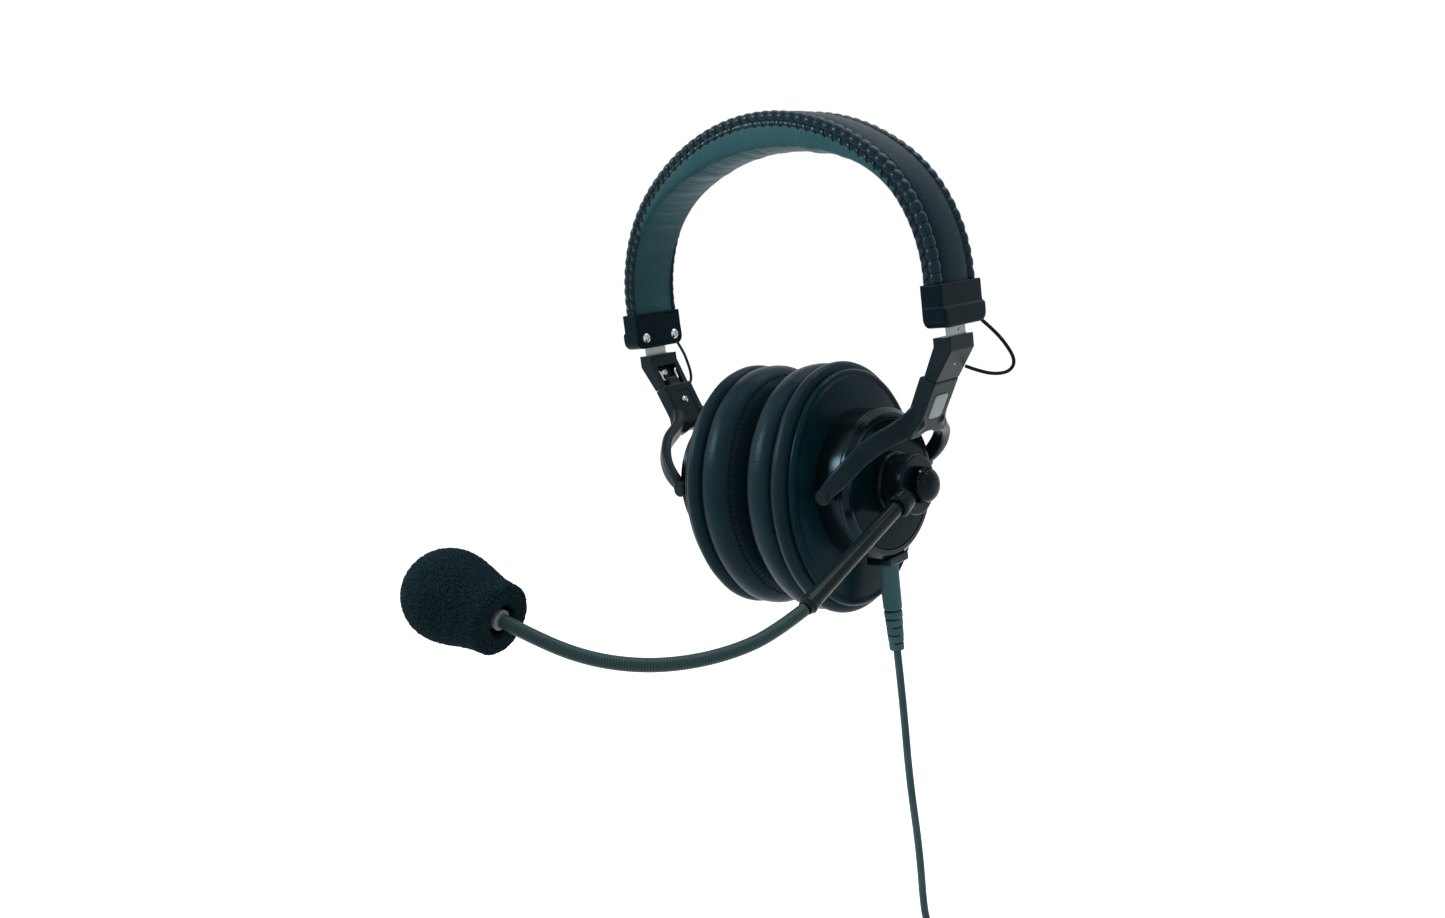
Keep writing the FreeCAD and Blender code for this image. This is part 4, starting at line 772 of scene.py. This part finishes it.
can_paint = grained("can_paint", (0.002, 0.005, 0.007), (0.003, 0.007, 0.009), 0.24, 3000, 0.000001,
                    shine=0.2)
face_plastic = grained("face_plastic", (0.001, 0.010, 0.013), (0.003, 0.014, 0.017), 0.16, 3000, 0.000002,
                       shine=0.06)
CAN = [(29.4, 0.0), (32.0, 0.0), (32.0, 0.7), (CAN_RADIUS, 1.0), (CAN_RADIUS, 12.6), (31.2, 12.75),
       (31.2, 12.95), (CAN_RADIUS, 13.1), (CAN_RADIUS, 14.5), (29.4, 16.3), (27.5, 16.4), (27.4, 15.3),
       (0.0, 15.3)]
for piece in both_cups("can_shell", turned(CAN, on_cup(CAN_BACK)), can_paint, "black_plastic", "can"):
    even_shading(piece)
FACE = [(0.0, 16.6), (13.4, 16.6), (21.0, 16.5), (26.9, 16.3), (27.35, 15.8)]
disc = turned(FACE, on_cup(CAN_BACK))
for piece in both_cups("can_disc", disc, face_plastic, "gloss_plastic", "can_face"):
    even_shading(piece)

lug = bmesh.new()
bmesh.ops.create_cube(lug, size=1.0)
lug_place = Matrix.Translation((0.041, 0, -0.1737)) @ Matrix.Diagonal((0.012, 0.014, 0.0036, 1))
bmesh.ops.transform(lug, matrix=lug_place, verts=lug.verts)
bmesh.ops.bevel(lug, geom=lug.edges[:], offset=0.0008, offset_type="OFFSET", affect="EDGES", segments=3,
                profile=0.5, material=-1, clamp_overlap=True)
even_shading(finished("cable_lug", lug, can_paint, "left_cup"))


# The speaker sits behind a thin black cloth that is stretched over the ear opening.  Both are hard to see
# down there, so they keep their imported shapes.
speaker_black = grained("speaker_black", (0.006, 0.007, 0.008), (0.010, 0.011, 0.012), 0.6, 1500, 0.00005)
grille_cloth = grained("grille_cloth", (0.005, 0.006, 0.007), (0.012, 0.014, 0.015), 0.85, 5200, 0.00025)
in_finish(speaker_black, "left_speaker", "right_speaker")
in_finish(grille_cloth, "left_speaker_grille", "right_speaker_grille")


# Each ear cushion is foam in leatherette.  A narrow lobe lies on the plate, a drawn-in groove parts it from
# the wide front lobe, and a stitched seam runs round the crest where the outer skin meets the ear wall.
OUTER, OUTER_TALL, MEAN_RADIUS = 47.8, 54.0, 46.0
GROOVE_DEEP, SEAM_DEEP = 7.6, 21.4      # depths from the plate
SECTION = [(0.2, -25.0), (0.1, -6.4), (0.2, -3.6), (0.6, -1.5), (1.8, -0.3), (3.6, 0.0), (5.3, -0.6),
           (6.5, -1.9), (7.1, -3.6), (7.3, -4.6), (GROOVE_DEEP, -5.0), (7.9, -4.6), (8.1, -3.7),
           (8.9, -2.2), (10.4, -1.1), (12.5, -0.6), (14.8, -0.6), (17.0, -1.0), (18.9, -1.9), (20.4, -3.2),
           (21.3, -4.4), (21.55, -5.1), (21.5, -5.6), (21.9, -5.9), (22.6, -6.9), (23.3, -8.9),
           (23.8, -11.2), (23.9, -13.8), (23.4, -16.8), (22.2, -19.8), (20.0, -22.6), (16.6, -24.6),
           (12.6, -25.5), (8.0, -25.8), (3.6, -25.8), (0.9, -25.7)]


def give_at_fold(piece):
    """Give the piece a mesh of its own.  At the end of the fold the cushion's end meets the head pad."""
    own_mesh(piece)


cushion = bmesh.new()
stations = [oval_place(OUTER, OUTER_TALL, turn, PLATE_BACK) for turn in oval_turns(OUTER, OUTER_TALL, 300)]
stations.append(stations[0])
section = [(-x, u) for x, u in SECTION]
carry(cushion, outline_of(cushion, section, stations[0]), stations, closed=True)
bmesh.ops.recalc_face_normals(cushion, faces=cushion.faces)
for vert in cushion.verts:
    depth = PLATE_BACK - vert.co.x * 1000
    y, z = vert.co.y * 1000, vert.co.z * 1000 - PLATE_UP
    beat = math.atan2(z, y) * MEAN_RADIUS
    near_seam = math.exp(-((depth - SEAM_DEEP) / 1.6) ** 2) if math.hypot(y, z) > 25 else 0.0
    near_groove = math.exp(-((depth - GROOVE_DEEP) / 1.5) ** 2)
    fine_fold = noise.noise(Vector((beat / 1.3, depth / 7.0, 2.0)))
    slow_fold = noise.noise(Vector((beat / 11.0, depth / 8.0, 7.0)))
    pull = 0.035 + 0.10 * near_groove + 0.10 * near_seam
    lift = slow_fold * 0.20 + fine_fold * pull
    if depth > 1.0:
        vert.co += vert.normal * lift * MM
cushion_leather = leather_finish("cushion_leatherette", (0.008, 0.021, 0.028), (0.012, 0.028, 0.036), 0.34,
                                 0.00005, 0.00003)
for piece in both_cups("cushion", cushion, cushion_leather, "leatherette", "ear_cushion"):
    soft = piece.modifiers.new("soft", "SUBSURF")
    soft.levels = soft.render_levels = 1
    give_at_fold(piece)

stitches = bmesh.new()
for turn in oval_turns(OUTER, OUTER_TALL, 112):
    place = oval_place(OUTER, OUTER_TALL, turn, PLATE_BACK)
    for spot in ((-21.55, -4.9), (-21.95, -6.0)):
        made = bmesh.ops.create_icosphere(stitches, subdivisions=1, radius=1.0)["verts"]
        bmesh.ops.transform(stitches, matrix=place @ Matrix.Translation((0, spot[0], spot[1]))
                            @ Matrix.Diagonal((0.85, 0.28, 0.28, 1)), verts=made)
for piece in both_cups("cushion_stitches", stitches, thread, "leatherette"):
    give_at_fold(piece)


# The boom turns on a stepped hub in the middle of the left cup.  A clamp block on it holds a rigid brass
# tube in black finish, and a knurled knob with a glossy domed cap tightens the block.
boom_black = grained("boom_black", (0.003, 0.007, 0.011), (0.005, 0.010, 0.014), 0.28, 2800, 0.000004,
                     shine=0.12)
HUB_BACK, BOOM_OUT = 45.8, 59.3         # foot of the hub, and the boom's line, out from the head
HUB = [(0.0, 0.0), (13.5, 0.0), (13.5, 4.0), (12.7, 4.8), (10.9, 4.8), (10.9, 6.2), (0.0, 6.2)]
hub = finished("boom_base", turned(HUB, on_cup(HUB_BACK)), boom_black, "left_cup")
even_shading(hub)
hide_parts("boom_hub")

BOOM_DROP = math.radians(20.3)


def on_boom(radius):
    """A place on the boom's line, its Z pointing to the mouth."""
    at = Vector((BOOM_OUT, -radius * math.cos(BOOM_DROP), CUP_UP - radius * math.sin(BOOM_DROP))) * MM
    return Matrix.Translation(at) @ Matrix.Rotation(math.pi / 2 + BOOM_DROP, 4, "X")


CLAMP = [(0.0, 6.4), (12.4, 6.4), (12.4, 13.9), (11.9, 14.4), (0.0, 14.4)]
HOOD = [(0.0, 0.0), (3.6, 0.0), (4.6, 1.0), (5.0, 3.0), (5.2, 7.4), (4.9, 8.6), (3.6, 8.8), (3.4, 6.4),
        (0.0, 6.4)]
clamp = turned(CLAMP, on_cup(HUB_BACK))
hood = bpy.data.meshes.new("hood")
turned(HOOD, on_boom(8.2), soft=0.0, steps=48).to_mesh(hood)
clamp.from_mesh(hood)
cast("boom_clamp", boom_black, 0.3, 6, clamp)
bpy.data.meshes.remove(hood)

tube_finish = grained("boom_brass", (0.005, 0.013, 0.016), (0.009, 0.017, 0.018), 0.2, 2800, 0.000004,
                      shine=0.10)
tube_finish.node_tree.nodes["Principled BSDF"].inputs["Specular Tint"].default_value = (0.9, 0.92, 0.9, 1.0)
TUBE = [(1.7, 0.0), (3.25, 0.0), (3.25, 68.0), (1.7, 68.0), (1.7, 0.0)]
tube = finished("rigid_tube", turned(TUBE, on_boom(11.0), soft=0.2, steps=48), tube_finish, "boom")
even_shading(tube)
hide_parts("boom_tube")
FERRULE = [(3.27, -2.5), (3.45, -2.5), (3.5, -2.3), (3.5, 0.4), (3.7, 0.7), (3.7, 1.7), (3.2, 1.9),
           (2.85, 3.5), (2.55, 3.5), (2.55, 0.1), (3.27, 0.1), (3.27, -2.5)]
ferrule = finished("tube_ring", turned(FERRULE, on_boom(79.0), soft=0.12, steps=56), tube_finish,
                   "boom")
even_shading(ferrule)
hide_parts("boom_ferrule")

KNOB = [(0.0, 0.0), (7.0, 0.0), (7.0, 3.9), (6.85, 4.5), (6.4, 5.3), (5.5, 6.2), (4.2, 7.0), (2.4, 7.5),
        (0.0, 7.7)]
TEETH, KNURL_RADIUS, VALLEY = 46, 7.5, 0.95
knob_gloss = grained("knob_gloss", (0.002, 0.005, 0.008), (0.003, 0.007, 0.010), 0.08, 1500, 0.000001,
                     coat=0.07)
knob_gloss.node_tree.nodes["Principled BSDF"].inputs["Coat Roughness"].default_value = 0.04
KNOB_AT = HUB_BACK + 6.2 + 0.2 + 8.2 + 0.15     # on the hub, the clamp and two gaps
knob = turned(KNOB, on_cup(KNOB_AT), soft=0.2)
teeth = bmesh.ops.create_circle(knob, cap_ends=False, radius=KNURL_RADIUS, segments=2 * TEETH)["verts"]
for i, vert in enumerate(teeth):
    vert.co *= 1.0 if i % 2 else VALLEY
edges = list({e for v in teeth for e in v.link_edges})
base = on_cup(KNOB_AT + 0.1) @ Matrix.Diagonal((MM, MM, MM, 1))
bmesh.ops.transform(knob, matrix=base, verts=teeth)
up = on_cup(0.0).to_3x3() @ Vector((0, 0, MM))
for rise, grow in ((3.6, 1.0), (0.35, 0.95)):
    made = bmesh.ops.extrude_edge_only(knob, edges=edges)["geom"]
    teeth = [v for v in made if isinstance(v, bmesh.types.BMVert)]
    edges = [e for e in made if isinstance(e, bmesh.types.BMEdge) and all(v in teeth for v in e.verts)]
    bmesh.ops.translate(knob, vec=up * rise, verts=teeth)
    middle = sum((v.co for v in teeth), Vector()) / len(teeth)
    for vert in teeth:
        vert.co = middle + (vert.co - middle) * grow
knob = finished("thumb_knob", knob, knob_gloss, "knob")
knob.data.set_sharp_from_angle(angle=math.radians(35))
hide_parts("boom_knob")


# The gooseneck is a steel spiral in a grey-green rubber sleeve.  The spiral shows through as fine ribs.
# Each rib's crest is also painted lighter in the sleeve's colour: a painted glint.
NECK = [(57.6, -94.0, -174.4), (53.4, -109.6, -176.2), (46.6, -125.2, -176.0), (38.0, -139.4, -173.6),
        (27.6, -151.6, -168.6), (15.6, -160.4, -161.6), (2.0, -166.0, -154.0)]
RIB_GAP = 0.95
neck_start = on_boom(83.0).translation / MM
neck_points = even_line(smooth_line([tuple(neck_start)] + NECK, 16), RIB_GAP * MM / 4)
ribs = [2.5 - 0.07 * (1 - math.sin(math.pi * (i % 4) / 4)) for i in range(len(neck_points))]
neck_skin, shader = plain_finish("gooseneck_skin", (0.02, 0.05, 0.055), 0.34, shine=0.12)
length = add_node(neck_skin, "ShaderNodeAttribute", attribute_name="along")
turns_of = add_node(neck_skin, "ShaderNodeMath", operation="MULTIPLY")
turns_of.inputs[1].default_value = 1000 / RIB_GAP
wire(neck_skin, length, "Fac", turns_of, 0)
part_of = add_node(neck_skin, "ShaderNodeMath", operation="PINGPONG")
part_of.inputs[1].default_value = 0.5
wire(neck_skin, turns_of, "Value", part_of, 0)
# Painted glint: the sleeve's colour is lighter on part of every rib, as if each crest caught the light.
painted_rib_glint = add_node(neck_skin, "ShaderNodeValToRGB")
painted_rib_glint.color_ramp.elements[0].color = (0.018, 0.044, 0.050, 1)
painted_rib_glint.color_ramp.elements[0].position = 0.1
painted_rib_glint.color_ramp.elements[1].color = (0.052, 0.080, 0.072, 1)
painted_rib_glint.color_ramp.elements[1].position = 0.42
wire(neck_skin, part_of, "Value", painted_rib_glint, "Fac")
wire(neck_skin, painted_rib_glint, "Color", shader, "Base Color")
neck = finished("flexible_neck", hose(neck_points, ribs, 28), neck_skin, None)
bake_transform(neck, "boom", "microphone", start=(0.0618, -0.0958, -0.176), end=(0.0314, -0.1546, -0.170))
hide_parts("gooseneck")


# The microphone sits inside a pear-shaped foam windscreen with a round hole for the gooseneck.  The foam is
# slate black and open-celled, with tiny pits in its surface and painted glints: fine light specks in its
# colour.
MIC_TURN = Vector((-0.92, -0.17, 0.31)).to_track_quat("Z", "Y").to_matrix().to_4x4()
at_mic = Matrix.Translation(Vector(NECK[-1]) * MM) @ MIC_TURN
in_finish(boom_black, "mic_holder", "mic_capsule")
collar_ivory = grained("collar_resin", (0.20, 0.24, 0.22), (0.28, 0.31, 0.28), 0.3, 1500, 0.00001)
in_finish(collar_ivory, "mic_collar")

FOAM = [(4.5, 20.2), (4.5, 6.0), (5.4, 3.4), (5.5, 0.9), (6.1, 0.05), (8.0, -0.1), (10.6, -0.05), (12.1, 0.3),
        (12.6, 1.3), (12.75, 3.6), (12.95, 6.5), (13.4, 9.2), (14.1, 12.2), (14.9, 15.2), (15.65, 18.2),
        (16.2, 21.2), (16.45, 24.2), (16.3, 27.2), (15.6, 30.2), (14.4, 33.0), (12.7, 35.6), (10.6, 37.8),
        (8.1, 39.5), (5.4, 40.5), (2.6, 41.0), (0.0, 41.1)]
foam = turned(FOAM, at_mic, soft=0.0, steps=72)
bmesh.ops.subdivide_edges(foam, edges=foam.edges[:], cuts=2, use_grid_fill=True, smooth=0.2)
# Painted glints: the second, much lighter colour comes in tiny patches, as specks of light on the foam cells.
foam_with_painted_glints = grained("foam_cells", (0.002, 0.0055, 0.008), (0.017, 0.044, 0.054), 0.92, 2600, 0.0003,
                    patch=2300, shine=0.04)
foam = finished("windscreen", foam, foam_with_painted_glints, "microphone")
pits = bpy.data.textures.new("foam_pits", "CLOUDS")
pits.noise_scale = 0.0009
pits.noise_depth = 1
rough = foam.modifiers.new("cells", "DISPLACE")
rough.texture = pits
rough.texture_coords = "OBJECT"
rough.strength = 0.0007
rough.mid_level = 0.5
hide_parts("foam_windscreen")


# A moulded rubber sleeve guards the cable where it leaves the cup.  Its barrel is smooth and its lower half
# is cut into ribs so that it bends.
RIB_STEP = 3.55
SLEEVE = [(1.7, 2.4), (4.3, 2.4), (4.3, 0.3), (4.15, 0.0), (4.0, -17.8), (3.8, -18.4), (2.4, -18.5)]
for i in range(5):
    level, wide = -19.3 - RIB_STEP * i, 3.92 - 0.18 * i
    SLEEVE += [(2.2, level + 0.1), (wide - 0.1, level), (wide, level - 0.2), (wide - 0.05, level - 2.75),
               (wide - 0.2, level - 2.85), (2.15, level - 2.9)]
SLEEVE += [(1.75, -36.5)]
relief_rubber = grained("relief_rubber", (0.050, 0.120, 0.137), (0.066, 0.144, 0.161), 0.5, 1600, 0.00004)
sleeve_place = Matrix.Translation((0.041, 0, -0.1774))
sleeve = turned(SLEEVE, sleeve_place, soft=0.08, steps=48)
for i in range(4):
    for side in (-1, 1):
        web = bmesh.ops.create_cube(sleeve, size=1.0)["verts"]
        turn = Matrix.Rotation(math.pi / 2 * (i % 2), 4, "Z")
        bmesh.ops.transform(sleeve, matrix=sleeve_place @ turn @ Matrix.Diagonal((MM, MM, MM, 1))
                            @ Matrix.Translation((side * 2.5, 0, -22.5 - RIB_STEP * i))
                            @ Matrix.Diagonal((1.9, 2.4, 1.2, 1)), verts=web)
sleeve = finished("cable_sleeve", sleeve, relief_rubber, None)
sleeve.data.set_sharp_from_angle(angle=math.radians(40))
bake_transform(sleeve, "left_cup", "cable", start=(0.041, 0, -0.193), end=(0.041, 0, -0.2139))
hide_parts("strain_relief")
in_finish(cord_rubber, "hank_tie", "plug_shell")
contact_metal = grained("contact_metal", (0.62, 0.5, 0.28), (0.7, 0.6, 0.36), 0.22, 1200, 0.00001, metal=1.0)
in_finish(contact_metal, "plug_pin")


# The studio: a pale floor under the hanging headset, a white surround and soft lamps.  The surround is white
# where the camera sees it and in reflections, and dimmer as a light.
FLOOR_UP, FLOOR_GLOW, SURROUND_LIGHT = -0.47, 0.75, 0.34
floor_bm = bmesh.new()
bmesh.ops.create_grid(floor_bm, x_segments=1, y_segments=1, size=12.0)
bmesh.ops.translate(floor_bm, vec=(0, 0, FLOOR_UP), verts=floor_bm.verts)
floor_mesh = bpy.data.meshes.new("floor")
floor_bm.to_mesh(floor_mesh)
floor_bm.free()
floor = bpy.data.objects.new("floor", floor_mesh)
bpy.context.scene.collection.objects.link(floor)
floor_white, shader = plain_finish("floor_white", (0.86, 0.87, 0.88), 0.8)
seen = add_node(floor_white, "ShaderNodeLightPath")
clear = add_node(floor_white, "ShaderNodeMath", operation="MAXIMUM")
wire(floor_white, seen, "Is Camera Ray", clear, 0)
wire(floor_white, seen, "Is Glossy Ray", clear, 1)
glow = add_node(floor_white, "ShaderNodeMath", operation="MULTIPLY")
glow.inputs[1].default_value = FLOOR_GLOW
wire(floor_white, clear, "Value", glow, 0)
shader.inputs["Emission Color"].default_value = (1, 1, 1, 1)
wire(floor_white, glow, "Value", shader, "Emission Strength")
floor_mesh.materials.append(floor_white)

world = bpy.data.worlds.new("studio")
world.use_nodes = True
bpy.context.scene.world = world
sky = world.node_tree
backdrop = sky.nodes["Background"]
ray = sky.nodes.new("ShaderNodeLightPath")
first = sky.nodes.new("ShaderNodeMath")
first.operation = "MAXIMUM"
both = sky.nodes.new("ShaderNodeMath")
both.operation = "MAXIMUM"
level = sky.nodes.new("ShaderNodeMapRange")
level.inputs["To Min"].default_value = SURROUND_LIGHT
level.inputs["To Max"].default_value = 1.0
sky.links.new(ray.outputs["Is Camera Ray"], first.inputs[0])
sky.links.new(ray.outputs["Is Glossy Ray"], first.inputs[1])
sky.links.new(first.outputs["Value"], both.inputs[0])
sky.links.new(ray.outputs["Is Transmission Ray"], both.inputs[1])
sky.links.new(both.outputs["Value"], level.inputs["Value"])
sky.links.new(level.outputs["Result"], backdrop.inputs["Strength"])
backdrop.inputs["Color"].default_value = (1, 1, 1, 1)

CENTRE = Vector((0.0, -0.02, -0.09))
# Name, direction, distance, width, height and watts.
LAMPS = [("key", (-0.6, -0.62, 0.5), 1.2, 0.34, 0.26, 9.0),
         ("overhead", (0.25, 0.3, 1.0), 1.1, 0.8, 0.8, 8.0),
         ("low_front", (0.25, -0.6, -0.85), 1.25, 0.6, 0.5, 9.0),
         ("rim", (0.95, -0.3, 0.25), 1.2, 0.3, 0.5, 0.6)]
for name, way, reach, wide, tall, power in LAMPS:
    lamp = bpy.data.lights.new(name, "AREA")
    lamp.shape = "RECTANGLE"
    lamp.size, lamp.size_y = wide, tall
    lamp.energy = power
    holder = bpy.data.objects.new(name, lamp)
    bpy.context.scene.collection.objects.link(holder)
    direction = Vector(way).normalized()
    holder.matrix_world = (Matrix.Translation(CENTRE + direction * reach)
                           @ direction.to_track_quat("Z", "Y").to_matrix().to_4x4())

bpy.context.scene.view_settings.view_transform = "Standard"
